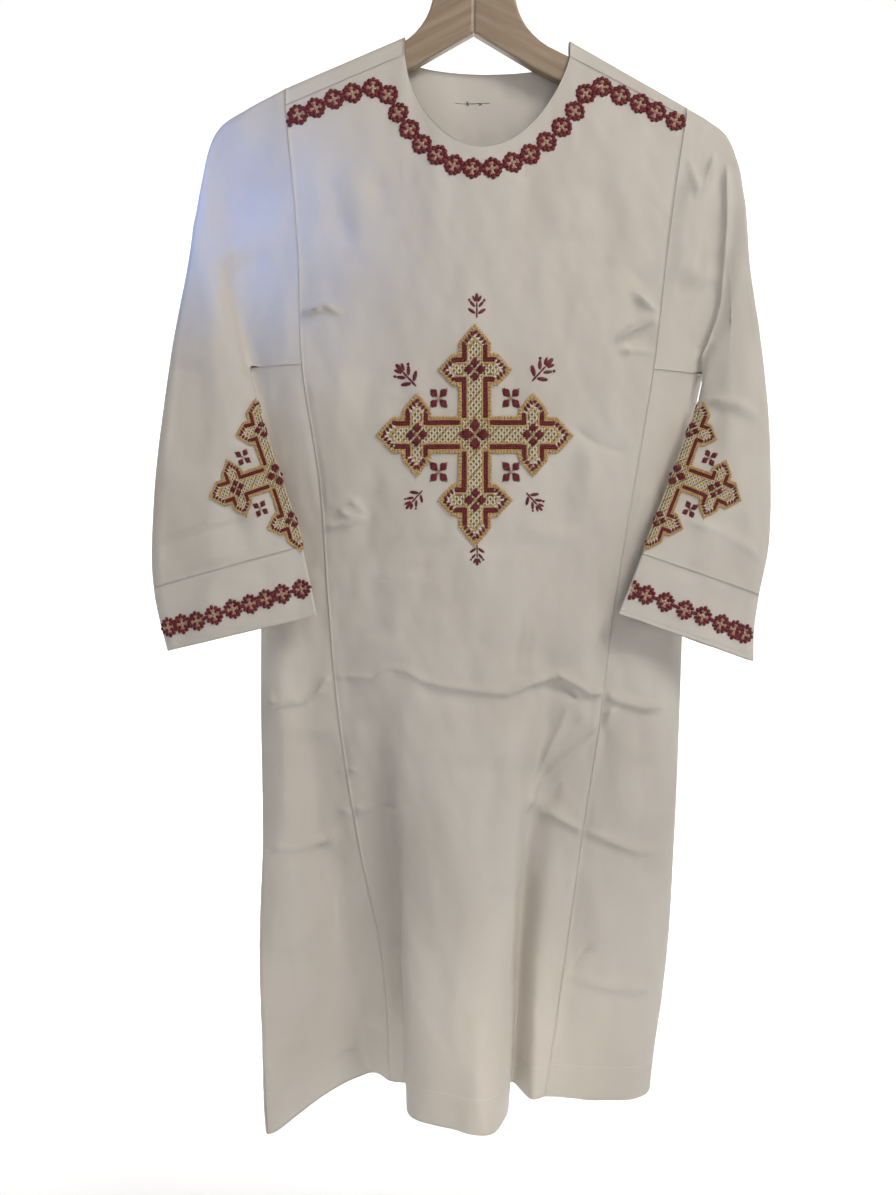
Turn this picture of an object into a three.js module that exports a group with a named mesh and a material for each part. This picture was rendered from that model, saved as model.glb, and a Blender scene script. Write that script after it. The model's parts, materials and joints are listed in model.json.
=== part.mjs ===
// A deacon's tunic on a wooden coat hanger.
// Millimetres, +Z up. The origin is the inside top of the hook, where it sits on its rail.
// The front faces -Y, and "left" and "right" are those of someone who looks at the front.
import * as THREE from "three";
import { mergeVertices } from "three/addons/utils/BufferGeometryUtils.js";

// ---------------------------------------------------------------- driving sizes

const CLOTH = 1.4; // thickness of a wall: the cloth with its turnings pressed flat
const SEAM_GAP = 0.3; // between two pieces at a seam
const CHEST_Z = -330;
const UNDERARM_Z = -447;
const UNDERARM_DIP = 0.014; // the right underarm hangs a little lower than the left
const HEM_Z = -1170;
const SHOULDER_RADIUS = 8.5; // the cloth over the top of the hanger's arm
const STITCHED_HEIGHT = 0.9; // how far the dense embroidery stands off the cloth
const STITCHED_GAP = 0.4;

// Neck opening: the corners where neckline and shoulder seam meet, and where it is lowest.
const NECK = { left: -69, right: 93, lowestX: 8, frontBottom: -237, backBottom: -149 };
const NECK_FULLNESS = { left: 0.62, right: 0.82 }; // the smaller, the squarer the curve
// Shoulder ridge: height at the neck corners and how much it falls for each millimetre out.
const RIDGE = { leftTop: -121, leftFall: 0.43, rightTop: -125, rightFall: 0.57 };
// How far the front shoulder seam lies below the ridge, at the neck and at the armhole.
const FRONT_DROP = { leftNeck: 20, leftArm: 20, rightNeck: 18, rightArm: 13 };
const BACK_DROP = 16;

const HANGER = {
  thickness: 12.5,
  reach: 240, // from the middle to the end of an arm
  slope: 26, // degrees
  tilt: 0.6, // degrees about the hook
  crownTop: -60,
  crownHalf: 30, // half the width of the crown
  crownBottom: -119,
  armDepth: 25,
  armStart: 72, // where the arm's straight top begins, and its height there
  armTop: -130,
  mitreGap: 0.3,
  edgeRound: 2.4,
};
// Wire thickness, radius of its middle, and the degrees at which the bend starts and that it turns.
const HOOK = { wire: 3.8, bend: 21, start: -70, turn: 272 };

const COLOUR = {
  cloth: 0xe4e1e2,
  gold: 0xb99552,
  wood: 0xc9ab84,
  steel: 0xb8b8ba,
};

// ---------------------------------------------------------------- lines round the body

// Each column is a line that runs down the garment: a side, a seam, a fold's crest or its valley.
// Each row gives where those lines lie at one level. The gores start at the underarm.
const NONE = null;

function table(columns, ...rows) {
  return rows.map((row) => Object.fromEntries(columns.map((column, i) => [column, row[i]])));
}

const FRONT_LINES = [
  "sideL", "goreL", "valleyL", "seamL", "tuckL", "crestL", "centreL", "centreR",
  "crestR", "valleyR", "ridgeR", "seamR", "goreR", "foldR", "sideR",
];
const BACK_LINES = [
  "backGoreR", "backSeamR", "backFoldR", "backMidR", "backCentre", "backMidL",
  "backFoldL", "backSeamL", "backGoreL",
];

const LEVEL_Z = [NONE, CHEST_Z, UNDERARM_Z, -560, -675, -790, -905, -1035, HEM_Z];

const FRONT_ACROSS = table(
  FRONT_LINES,
  [NONE, NONE, NONE, -186, -128, -69, -36, 8, 54, 93, 148, 207, NONE, NONE, NONE],
  [NONE, NONE, NONE, -173, -128, -74, -34, 7, 58, 101, 145, 188, NONE, NONE, NONE],
  [-222, -208, -192, -168, -129, -76, -34, 6, 58, 101, 140, 173, 191, 209, 226],
  [-208, -196, -178, -151, -119, -73, -33, 6, 54, 94, 125, 155, 174, 192, 206],
  [-212, -193, -171, -143, -109, -72, -33, 6, 48, 83, 112, 136, 160, 184, 207],
  [-212, -190, -165, -133, -98, -72, -32, 6, 43, 70, 97, 122, 150, 178, 204],
  [-208, -182, -150, -116, -80, -68, -30, 6, 37, 51, 75, 105, 139, 171, 200],
  [-206, -172, -128, -93, -72, -67, -28, 7, 33, 44, 62, 88, 134, 171, 193],
  [-193, -149, -108, -86, -68, -63, -18, 10, 30, 39, 56, 70, 114, 156, 175],
);
const FRONT_DEPTH = table(
  FRONT_LINES,
  [NONE, NONE, NONE, -9, -9, -10, -19, -24, -19, -10, -9, -9, NONE, NONE, NONE],
  [NONE, NONE, NONE, -16, -21, -25, -27, -28, -27, -24, -20, -16, NONE, NONE, NONE],
  [5, -6, -15, -21, -27, -31, -33, -34, -33, -30, -26, -21, -15, -6, 5],
  [9, -4, -11, -19, -29, -36, -39, -39, -37, -30, -27, -19, -12, -4, 9],
  [8, -8, -12, -18, -30, -40, -44, -43, -39, -27, -26, -18, -14, -8, 9],
  [4, -16, -8, -14, -26, -43, -50, -48, -38, -18, -23, -16, -17, -10, 10],
  [-10, -22, 0, -4, -10, -42, -53, -51, -36, -6, -17, -12, -14, -10, 14],
  [-34, -22, 25, 16, 14, -38, -57, -60, -34, 17, -8, -3, -7, -4, 20],
  [-68, 14, 66, 46, 39, -31, -61, -70, -31, 43, 5, 10, 3, 4, 22],
);
const BACK_ACROSS = table(
  BACK_LINES,
  [NONE, 207, 150, 93, 12, -69, -128, -186, NONE],
  [NONE, 188, 136, 76, 8, -60, -118, -173, NONE],
  [203, 173, 118, 60, 3, -54, -112, -168, -200],
  [192, 158, 108, 55, 0, -55, -108, -154, -192],
  [188, 146, 100, 50, -4, -58, -106, -146, -190],
  [183, 138, 96, 48, -4, -60, -108, -144, -187],
  [180, 134, 94, 44, -6, -62, -110, -146, -186],
  [178, 134, 92, 40, -8, -60, -112, -150, -188],
  [176, 136, 90, 38, -8, -58, -112, -156, -192],
);
const BACK_DEPTH = table(
  BACK_LINES,
  [NONE, 9, 9, 10, 18, 10, 9, 9, NONE],
  [NONE, 12, 16, 19, 21, 19, 16, 12, NONE],
  [14, 19, 24, 27, 26, 28, 25, 19, 14],
  [18, 26, 32, 36, 30, 38, 32, 26, 18],
  [22, 32, 40, 46, 34, 48, 40, 32, 22],
  [26, 38, 48, 56, 40, 58, 48, 38, 26],
  [32, 46, 58, 68, 48, 70, 58, 46, 32],
  [42, 58, 72, 86, 60, 88, 72, 58, 36],
  [56, 74, 90, 108, 78, 110, 90, 76, 30],
);

// Sleeve sections from the armhole to the wrist. "out" is the fold along the top of the sleeve,
// "in" the fold along its underside, half the sleeve's half depth, pinch its half depth at the
// underside. The lower edges stay open until the underarm, which is the fourth section.
const SLEEVE_COLUMNS = ["outX", "outZ", "outY", "inX", "inZ", "inY", "half", "pinch"];
const SLEEVE_LEFT = table(
  SLEEVE_COLUMNS,
  [-186, -170, 0, -168, -446, 0, 8.5, 20],
  [-222, -190, 0, -190, -446, 0, 9, 17],
  [-254, -214, 0, -207, -446, 0, 10, 11],
  [-268, -262, -2, -221, -446, -2, 12, 4],
  [-281, -347, -6, -211, -486, -16, 14, 2.6],
  [-295, -423, -9, -202, -519, -22, 15, 2.6],
  [-305, -495, -11, -190, -553, -26, 15, 2.6],
  [-312, -558, -12, -178, -587, -30, 15, 2.6],
  [-315, -625, -13, -171, -606, -32, 15, 2.6],
  [-313, -664, -14, -166, -624, -35, 14, 2.6],
  [-307, -695, -15, -158, -658, -39, 14, 2.6],
  [-299, -725, -16, -151, -690, -43, 14, 2.6],
);
const SLEEVE_RIGHT = table(
  SLEEVE_COLUMNS,
  [207, -186, 0, 173, -452, 0, 8.5, 20],
  [229, -201, 0, 194, -452, 0, 9, 17],
  [250, -222, 0, 211, -452, 0, 10, 11],
  [262, -267, -2, 225, -452, -2, 12, 4],
  [269, -347, -6, 216, -488, -16, 14, 2.6],
  [279, -423, -9, 203, -521, -22, 15, 2.6],
  [286, -495, -11, 191, -553, -26, 15, 2.6],
  [288, -558, -12, 178, -585, -30, 15, 2.6],
  [286, -620, -13, 168, -610, -32, 15, 2.6],
  [276, -671, -14, 159, -631, -35, 14, 2.6],
  [271, -705, -15, 147, -661, -39, 14, 2.6],
  [270, -735, -16, 135, -688, -43, 14, 2.6],
);
const UNDERARM_SECTION = 3;
const CUFF_SECTION = 9;
const WRIST_SECTION = 11;

// The ends of the shoulder seams, where the armholes start.
const ARMHOLE = { left: FRONT_ACROSS[0].seamL, right: FRONT_ACROSS[0].seamR };

// ---------------------------------------------------------------- small sums

const lerp = THREE.MathUtils.lerp;
const clamp = THREE.MathUtils.clamp;
const clamp01 = (t) => clamp(t, 0, 1);
const ease = (t) => THREE.MathUtils.smoothstep(t, 0, 1);
const vector = (x, y, z) => new THREE.Vector3(x, y, z);

function throughValues(values, t) {
  // A smooth curve through numbers at t = 0, 1, 2, ... with straight ends.
  const i = clamp(Math.floor(t), 0, values.length - 2);
  const f = t - i;
  const before = values[i - 1] ?? 2 * values[i] - values[i + 1];
  const after = values[i + 2] ?? 2 * values[i + 1] - values[i];
  const slope = (values[i + 1] - before) / 2;
  const nextSlope = (after - values[i]) / 2;
  const f2 = f * f;
  const f3 = f2 * f;
  return (2 * f3 - 3 * f2 + 1) * values[i] + (f3 - 2 * f2 + f) * slope
    + (3 * f2 - 2 * f3) * values[i + 1] + (f3 - f2) * nextSlope;
}

function normalOf(point, a, b, step) {
  // The outward normal of a surface whose a runs to the right and b down, seen from outside.
  const alongA = point(a + step, b).sub(point(a - step, b));
  const alongB = point(a, b + step).sub(point(a, b - step));
  return alongB.cross(alongA).normalize();
}

// ---------------------------------------------------------------- shoulders and neck

function ridgeHeight(x) {
  const middle = (NECK.left + NECK.right) / 2;
  return x < middle
    ? RIDGE.leftTop - (NECK.left - x) * RIDGE.leftFall
    : RIDGE.rightTop - (x - NECK.right) * RIDGE.rightFall;
}

function frontDrop(x) {
  return x < 0
    ? lerp(FRONT_DROP.leftNeck, FRONT_DROP.leftArm, (NECK.left - x) / (NECK.left - ARMHOLE.left))
    : lerp(FRONT_DROP.rightNeck, FRONT_DROP.rightArm, (x - NECK.right) / (ARMHOLE.right - NECK.right));
}

function frontTop(x) {
  // Shoulder seam, neckline, shoulder seam. The neckline is a little fuller on the left.
  if (x <= NECK.left || x >= NECK.right) return ridgeHeight(x) - frontDrop(x);
  const side = x < NECK.lowestX ? "left" : "right";
  const corner = NECK[side];
  const reach = (x - NECK.lowestX) / (corner - NECK.lowestX);
  const top = ridgeHeight(corner) - frontDrop(corner);
  const depth = Math.pow(1 - reach * reach, NECK_FULLNESS[side]);
  return lerp(top, NECK.frontBottom, depth);
}

function backTop(x) {
  if (x <= NECK.left || x >= NECK.right) return ridgeHeight(x) - BACK_DROP;
  const middle = (NECK.left + NECK.right) / 2;
  const reach = Math.abs((x - middle) / (NECK.right - middle));
  const corner = x < middle ? NECK.left : NECK.right;
  const top = ridgeHeight(corner) - BACK_DROP;
  return lerp(top, NECK.backBottom, Math.sqrt(1 - Math.pow(reach, 3)));
}

function shoulderPoint(x, across) {
  // Over the hanger's arm: across is -1 at the front seam, 0 on the ridge and 1 at the back seam.
  const drop = across < 0 ? frontDrop(x) : BACK_DROP;
  const side = Math.sign(across);
  const part = Math.abs(across) * 2;
  const top = ridgeHeight(x);
  if (part < 1) {
    const angle = (part * Math.PI) / 2;
    return vector(x, side * SHOULDER_RADIUS * Math.sin(angle), top - SHOULDER_RADIUS * (1 - Math.cos(angle)));
  }
  const down = SHOULDER_RADIUS + (part - 1) * (drop - SHOULDER_RADIUS);
  return vector(x, side * (SHOULDER_RADIUS + 0.5 * (part - 1)), top - down);
}

// ---------------------------------------------------------------- the body's surface

const RING_LINES = [...FRONT_LINES, ...BACK_LINES];
const lineNumber = (name) => RING_LINES.indexOf(name);
const UNDERARM_LEVEL = 2;
const HEM_LEVEL = LEVEL_Z.length - 1;
const UNDERARM_DROP = UNDERARM_Z - LEVEL_Z[UNDERARM_LEVEL + 1]; // down to the next level

function columnOf(name, front, back) {
  const rows = FRONT_LINES.includes(name) ? front : back;
  return rows.map((row) => row[name]);
}
const ACROSS = RING_LINES.map((name) => columnOf(name, FRONT_ACROSS, BACK_ACROSS));
const DEPTH = RING_LINES.map((name) => columnOf(name, FRONT_DEPTH, BACK_DEPTH));

function linePoint(line, level) {
  // Where a line lies at a level. Lines of the gores have nothing above the underarm.
  const first = ACROSS[line][0] === NONE ? UNDERARM_LEVEL : 0;
  const at = (column) => throughValues(column.slice(first), level - first);
  return vector(at(ACROSS[line]), at(DEPTH[line]), 0);
}

function levelHeight(level, x, isFront) {
  const underarm = UNDERARM_Z - UNDERARM_DIP * (x - FRONT_ACROSS[UNDERARM_LEVEL].seamL);
  if (level <= 1) return lerp(isFront ? frontTop(x) : backTop(x), CHEST_Z, level);
  if (level <= UNDERARM_LEVEL) return lerp(CHEST_Z, underarm, level - 1);
  const i = Math.min(Math.floor(level), HEM_LEVEL - 1);
  const from = i === UNDERARM_LEVEL ? underarm : LEVEL_Z[i];
  return lerp(from, LEVEL_Z[i + 1], level - i);
}

const ringCurves = new Map();

function ringCurve(level, isFront) {
  // The closed curve round the body at a level, or a panel's own open curve above the underarm.
  const key = `${level.toFixed(5)} ${level < UNDERARM_LEVEL && isFront}`;
  if (!ringCurves.has(key)) {
    const whole = level >= UNDERARM_LEVEL;
    const first = whole ? 0 : lineNumber(isFront ? "seamL" : "backSeamR");
    const last = whole ? RING_LINES.length - 1 : lineNumber(isFront ? "seamR" : "backSeamL");
    const points = [];
    for (let line = first; line <= last; line += 1) points.push(linePoint(line, level));
    const curve = new THREE.CatmullRomCurve3(points, whole, "centripetal");
    const spans = whole ? points.length : points.length - 1;
    ringCurves.set(key, { curve, first, spans, whole });
  }
  return ringCurves.get(key);
}

function bodyPoint(line, level, isFront = true) {
  const { curve, first, spans, whole } = ringCurve(level, isFront);
  const part = (line - first) / spans;
  const point = curve.getPoint(whole ? part - Math.floor(part) : clamp01(part));
  point.z = levelHeight(level, point.x, isFront);
  return point;
}

// ---------------------------------------------------------------- walls of cloth

function closedMesh(name, vertices, faces, colour, roughness = 0.85, metalness = 0) {
  let geometry = new THREE.BufferGeometry();
  const numbers = vertices.flatMap((vertex) => vertex.toArray());
  geometry.setAttribute("position", new THREE.Float32BufferAttribute(numbers, 3));
  geometry.setIndex(faces.flat());
  geometry = mergeVertices(geometry, 1e-4);
  geometry.computeVertexNormals();
  const material = new THREE.MeshStandardMaterial({ color: colour, roughness, metalness });
  const mesh = new THREE.Mesh(geometry, material);
  mesh.name = name;
  return mesh;
}

function wall(name, rows, colour = COLOUR.cloth) {
  // rows of {point, normal} from top to bottom, each from left to right seen from outside. The
  // wall lies between those points and the same ones a cloth's thickness further in.
  const height = rows.length;
  const width = rows[0].length;
  const outer = rows.flat().map(({ point }) => point);
  const inner = rows.flat().map(({ point, normal }) => point.clone().addScaledVector(normal, -CLOTH));
  const at = (row, column) => row * width + column;
  const under = (row, column) => height * width + at(row, column);
  const faces = [];
  const quad = (a, b, c, d) => faces.push([a, b, c], [a, c, d]);
  for (let i = 0; i < height - 1; i += 1) {
    for (let j = 0; j < width - 1; j += 1) {
      quad(at(i, j), at(i + 1, j), at(i + 1, j + 1), at(i, j + 1));
      quad(under(i, j), under(i, j + 1), under(i + 1, j + 1), under(i + 1, j));
    }
    quad(at(i, 0), under(i, 0), under(i + 1, 0), at(i + 1, 0));
    quad(at(i, width - 1), at(i + 1, width - 1), under(i + 1, width - 1), under(i, width - 1));
  }
  for (let j = 0; j < width - 1; j += 1) {
    quad(at(0, j), at(0, j + 1), under(0, j + 1), under(0, j));
    quad(at(height - 1, j), under(height - 1, j), under(height - 1, j + 1), at(height - 1, j + 1));
  }
  return closedMesh(name, [...outer, ...inner], faces, colour);
}

function steps(from, to, count) {
  return Array.from({ length: count + 1 }, (_, i) => lerp(from, to, i / count));
}

function bodyPanel(name, leftLine, rightLine, topLevel, perSpan, levels) {
  // A panel between two seam lines. Its edges stop half a seam gap short of the lines.
  const left = lineNumber(leftLine);
  let right = lineNumber(rightLine);
  if (right < left) right += RING_LINES.length;
  const isFront = left < lineNumber("backGoreR");
  const point = (line, level) => bodyPoint(line, level, isFront);
  const columns = steps(left, right, Math.round((right - left) * perSpan));
  const rows = levels.map((level) => {
    const safe = clamp(level, topLevel + 0.01, HEM_LEVEL - 0.01);
    return columns.map((line, i) => {
      const open = level < UNDERARM_LEVEL;
      const inside = open ? clamp(line, left + 0.02, right - 0.02) : line;
      const normal = normalOf(point, inside, safe, 0.01);
      const here = point(line, level);
      const end = i === 0 ? 1 : i === columns.length - 1 ? -1 : 0;
      const neighbour = point(line + end * 0.05, level);
      if (end !== 0) here.addScaledVector(neighbour.sub(here).normalize(), SEAM_GAP / 2);
      return { point: here, normal };
    });
  });
  return wall(name, rows);
}

const UPPER_LEVELS = [0, 0.25, 0.5, 0.75, 1, 1.35, 1.7];
const LOWER_LEVELS = steps(UNDERARM_LEVEL, HEM_LEVEL, 18);
const GORE_TOP = UNDERARM_LEVEL + SEAM_GAP / UNDERARM_DROP;

function bodyPanels() {
  const long = [...UPPER_LEVELS, ...LOWER_LEVELS];
  const short = [GORE_TOP, ...LOWER_LEVELS.slice(1)];
  return [
    bodyPanel("front_panel", "seamL", "seamR", 0, 3, long),
    bodyPanel("gore_front_left", "sideL", "seamL", UNDERARM_LEVEL, 3, short),
    bodyPanel("gore_front_right", "seamR", "sideR", UNDERARM_LEVEL, 3, short),
    bodyPanel("gore_back_right", "sideR", "backSeamR", UNDERARM_LEVEL, 3, short),
    bodyPanel("gore_back_left", "backSeamL", "sideL", UNDERARM_LEVEL, 3, short),
    bodyPanel("back_panel", "backSeamR", "backSeamL", 0, 3, long),
  ];
}

function shoulderStrip(name, xFrom, xTo) {
  // The strip over the shoulder, from the front seam to the back seam.
  const point = (x, across) => shoulderPoint(x, across);
  const columns = steps(xFrom, xTo, 5);
  const rows = [-0.99, -0.75, -0.5, -0.33, -0.17, 0, 0.17, 0.33, 0.5, 0.75, 0.99].map((across) =>
    columns.map((x) => {
      const ahead = point(x, across + 0.01).sub(point(x, across - 0.01));
      const along = point(x + 1, across).sub(point(x - 1, across));
      return { point: point(x, across), normal: along.cross(ahead).normalize() };
    }),
  );
  return wall(name, rows.reverse());
}

// ---------------------------------------------------------------- sleeves

const OUTER_ARC = 0.88; // share of a section's half that is flat; the rest goes round the top fold
const WEDGE = 0.6; // a section widens evenly from the underside over this share of its width
const INNER_ARC = 0.03; // the share that goes round the fold along the underside

// The stretches of a sleeve, in sections, over which it leaves the armhole, lets go of the gores'
// upper edge, and closes along its underside.
const LEAVES_ARMHOLE = 2.2;
const LEAVES_GORES = { from: 2.4, over: 0.9 };
const CLOSES = { from: 2.8, over: 0.8 };
const HELD_BY_GORES = 0.3; // share of a section's half, up from the underside
const SHORT_OF_SIDE = 0.35; // how far short of the side line the edge stops, in spans of the ring
const FOLD_RADIUS = 2.6; // round the fold along the underside
const NEARLY_ONE = 0.999999;

function folded(ring) {
  // Whether a place round the ring is in front, and how far up from the underside it is.
  const front = ring < 0.5;
  return { front, up: (front ? ring : 1 - ring) / 0.5 };
}

function seamLine(side, front) {
  const letter = side < 0 ? "L" : "R";
  return lineNumber((front ? "seam" : "backSeam") + letter);
}

function armholePoint(side, ring) {
  // Round the armhole: up the front seam, over the shoulder, down the back seam.
  const { front, up } = folded(ring);
  const line = seamLine(side, front);
  if (up < OUTER_ARC) return bodyPoint(line, UNDERARM_LEVEL * (1 - up / OUTER_ARC), front);
  const x = linePoint(line, 0).x;
  const across = 1 - (up - OUTER_ARC) / (1 - OUTER_ARC);
  return shoulderPoint(x, front ? -across : across);
}

function sectionPoint(sections, ring, place) {
  const column = (name) => throughValues(sections.map((section) => section[name]), place);
  const half = column("half");
  const pinch = column("pinch");
  const outer = vector(column("outX"), column("outY"), column("outZ"));
  const inner = vector(column("inX"), column("inY"), column("inZ"));
  const along = vector(outer.x - inner.x, 0, outer.z - inner.z);
  const chord = along.length() - half;
  along.normalize();
  const { front, up } = folded(ring);
  const closed = ease((place - CLOSES.from) / CLOSES.over);
  const arc = INNER_ARC * closed;
  let reach;
  let depth;
  if (up > OUTER_ARC) {
    const angle = (((up - OUTER_ARC) / (1 - OUTER_ARC)) * Math.PI) / 2;
    reach = chord + half * Math.sin(angle);
    depth = half * Math.cos(angle);
  } else if (up < arc) {
    const angle = lerp((1 - closed) * Math.PI / 2, Math.PI / 2, up / arc);
    reach = pinch * closed - pinch * Math.cos(angle);
    depth = pinch * Math.sin(angle);
  } else {
    const share = (up - arc) / (OUTER_ARC - arc);
    reach = lerp(pinch * closed, chord, share);
    depth = lerp(pinch, half, clamp01(share / WEDGE));
  }
  const middle = lerp(inner.y, outer.y, clamp01(reach / chord));
  return vector(inner.x + along.x * reach, middle + (front ? -depth : depth), inner.z + along.z * reach);
}

function sleevePoint(side, ring, place) {
  // The sections, drawn to the armhole at the top and to the gores' upper edge underneath.
  const sections = side < 0 ? SLEEVE_LEFT : SLEEVE_RIGHT;
  const turn = ring - Math.floor(ring);
  const point = sectionPoint(sections, turn, place);
  const toArmhole = 1 - ease(place / LEAVES_ARMHOLE);
  const armholeShift = (at) => armholePoint(side, at).sub(sectionPoint(sections, at, 0));
  if (toArmhole > 0) point.addScaledVector(armholeShift(turn), toArmhole);
  const toGore = 1 - ease((place - LEAVES_GORES.from) / LEAVES_GORES.over);
  if (toGore > 0 && place > 0) {
    const { front, up } = folded(turn);
    const sideLine = side < 0 ? (front ? 0 : RING_LINES.length) : lineNumber("sideR");
    const towardsSeam = front === side < 0 ? SHORT_OF_SIDE : -SHORT_OF_SIDE;
    const part = clamp01(place / UNDERARM_SECTION);
    const edge = bodyPoint(lerp(seamLine(side, front), sideLine + towardsSeam, part), UNDERARM_LEVEL);
    const underside = front ? 0 : 1;
    const own = sectionPoint(sections, underside, place);
    if (toArmhole > 0) own.addScaledVector(armholeShift(underside), toArmhole);
    point.addScaledVector(edge.sub(own), toGore * (1 - ease(up / HELD_BY_GORES)));
  }
  return point;
}

// Where a sleeve wall's columns lie round the ring: 0 is the fold along the underside, 0.5 the top
// fold. At the armhole its edges are at the underside. Below the underarm the long seam swings
// round to the back.
const RING_AT_ARMHOLE = [
  0, 0.02, 0.04, 0.06, 0.08, 0.1, 0.12, 0.14, 0.17, 0.21, 0.26, 0.32, 0.38,
  0.44, 0.465, 0.49, 0.51, 0.535, 0.56, 0.67, 0.78, 0.89, 1,
];
const RING_BELOW = [
  -0.25, -0.17, -0.09, -0.04, -0.015, -0.0075, 0, 0.0075, 0.015, 0.06, 0.14, 0.22, 0.33,
  0.44, 0.465, 0.49, 0.51, 0.535, 0.56, 0.61, 0.66, 0.71, 0.75,
];

function ringColumns(place) {
  const swung = ease((place - UNDERARM_SECTION) / 1.2);
  return RING_AT_ARMHOLE.map((ring, i) => lerp(ring, RING_BELOW[i], swung));
}

function sleeveWall(name, side, places) {
  const point = (ring, place) => sleevePoint(side, ring, place);
  const rows = places.map((place) => {
    const open = place <= UNDERARM_SECTION;
    return ringColumns(place).map((ring, i, columns) => {
      const nearEnd = i === 0 ? 0.004 : i === columns.length - 1 ? -0.004 : 0;
      const ownRing = open ? clamp(ring, 0, NEARLY_ONE) : ring;
      const here = point(ownRing, place);
      const safeRing = open ? clamp(ring, 0.004, 0.996) : ring + nearEnd;
      const normal = normalOf(point, safeRing, Math.max(place, 0.02), 0.003);
      if (side < 0) normal.negate();
      if (place === places[0]) {
        const below = point(ownRing, place + 0.05);
        here.addScaledVector(below.sub(here).normalize(), SEAM_GAP);
      }
      if (nearEnd !== 0 && !open) {
        here.addScaledVector(point(ring + nearEnd, place).sub(here).normalize(), SEAM_GAP / 2);
      }
      if (nearEnd !== 0 && open) here.z += 2 * SEAM_GAP;
      return { point: here, normal };
    });
  });
  // Seen from outside the left sleeve's ring runs right to left, the right sleeve's left to right.
  return wall(name, side < 0 ? rows.map((row) => row.slice().reverse()) : rows);
}

const CUFF_SEAM = 0.004; // the gap at the cuff's seam, in sections
const SLEEVE_PLACES = [
  0, 0.5, 1, 1.5, 2, 2.5, 3, 3.4, 3.8, 4.4, 5, 5.7, 6.4, 7.1, 7.8, 8.4, CUFF_SECTION - CUFF_SEAM,
];
const CUFF_PLACES = [CUFF_SECTION, 9.5, 10, 10.5, WRIST_SECTION];

function sleeves() {
  return [
    sleeveWall("sleeve_left", -1, SLEEVE_PLACES),
    sleeveWall("cuff_left", -1, CUFF_PLACES),
    sleeveWall("sleeve_right", 1, SLEEVE_PLACES),
    sleeveWall("cuff_right", 1, CUFF_PLACES),
  ];
}

// ---------------------------------------------------------------- embroidered crosses

// A cross of four equal arms, each with a stepped, pointed head, worked in square steps. For each
// step out from the middle, how many steps the arm reaches to either side.
const ARM_REACH = [1, 1, 1, 1, 1, 2, 3, 3, 2, 1, 0];
const CROSS_STEPS = ARM_REACH.length - 0.5; // from the middle to a point, in steps
const CHEST_CROSS = { x: -1, z: -518, halfWidth: 93, halfHeight: 104 };
const SLEEVE_CROSS = { z: -556, halfWidth: 66, halfHeight: 75 };
const FOLD_LIFT = 2.9; // how much further the stiff stitching stands off where it turns the fold

function inCross(i, j) {
  const far = Math.max(Math.abs(i), Math.abs(j));
  const near = Math.min(Math.abs(i), Math.abs(j));
  return far < ARM_REACH.length && near <= ARM_REACH[far];
}

function findSpot(point, start, x, z) {
  // The two numbers at which a surface passes through x and z, by Newton's steps.
  let [a, b] = start;
  for (let i = 0; i < 8; i += 1) {
    const here = point(a, b);
    const alongA = point(a + 0.002, b).sub(here).divideScalar(0.002);
    const alongB = point(a, b + 0.002).sub(here).divideScalar(0.002);
    const area = alongA.x * alongB.z - alongB.x * alongA.z;
    const offX = x - here.x;
    const offZ = z - here.z;
    a += (offX * alongB.z - offZ * alongB.x) / area;
    b += (offZ * alongA.x - offX * alongA.z) / area;
  }
  return [a, b];
}

function chestSpot(across, down) {
  const point = (line, level) => bodyPoint(line, level);
  const x = CHEST_CROSS.x + across * CHEST_CROSS.halfWidth;
  const z = CHEST_CROSS.z - down * CHEST_CROSS.halfHeight;
  const level = UNDERARM_LEVEL + (UNDERARM_Z - z) / UNDERARM_DROP;
  const [line, exact] = findSpot(point, [lineNumber("centreR"), Math.max(level, 1.2)], x, z);
  return { point: point(line, exact), normal: normalOf(point, line, exact, 0.02) };
}

function sleeveSpot(side, across, down) {
  // Across is measured round the fold along the underside, with more of the cross in front.
  const point = (ring, place) => sleevePoint(side, ring, place);
  const fold = (place) => point(0, place);
  let place = UNDERARM_SECTION + 1;
  while (fold(place).z > SLEEVE_CROSS.z) place += 0.01;
  const way = Math.sign(down) * 0.01;
  for (let gone = 0; gone < Math.abs(down) * SLEEVE_CROSS.halfHeight; place += way) {
    gone += fold(place).distanceTo(fold(place + way));
  }
  const quarter = (FOLD_RADIUS * Math.PI) / 2;
  const distance = (across + 0.5 / CROSS_STEPS) * SLEEVE_CROSS.halfWidth;
  const front = distance > 0;
  const far = Math.abs(distance);
  let ring = (INNER_ARC / 2) * Math.min(1, far / quarter);
  if (far > quarter) {
    // Square to the fold, which runs down, and away from the body.
    const tangent = fold(place + 0.02).sub(fold(place - 0.02)).setY(0).normalize();
    const outward = vector(-side * tangent.z, 0, side * tangent.x);
    const target = fold(place).addScaledVector(outward, far - quarter + FOLD_RADIUS);
    const half = (a, b) => point(front ? a : 1 - a, b);
    [ring, place] = findSpot(half, [0.1, place], target.x, target.z);
  }
  const turned = front ? ring : -ring;
  const normal = normalOf(point, turned, place, 0.004);
  if (side < 0) normal.negate();
  const lift = FOLD_LIFT * Math.max(0, 1 - far / (3 * quarter));
  return { point: point(turned, place).addScaledVector(normal, lift), normal };
}

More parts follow.
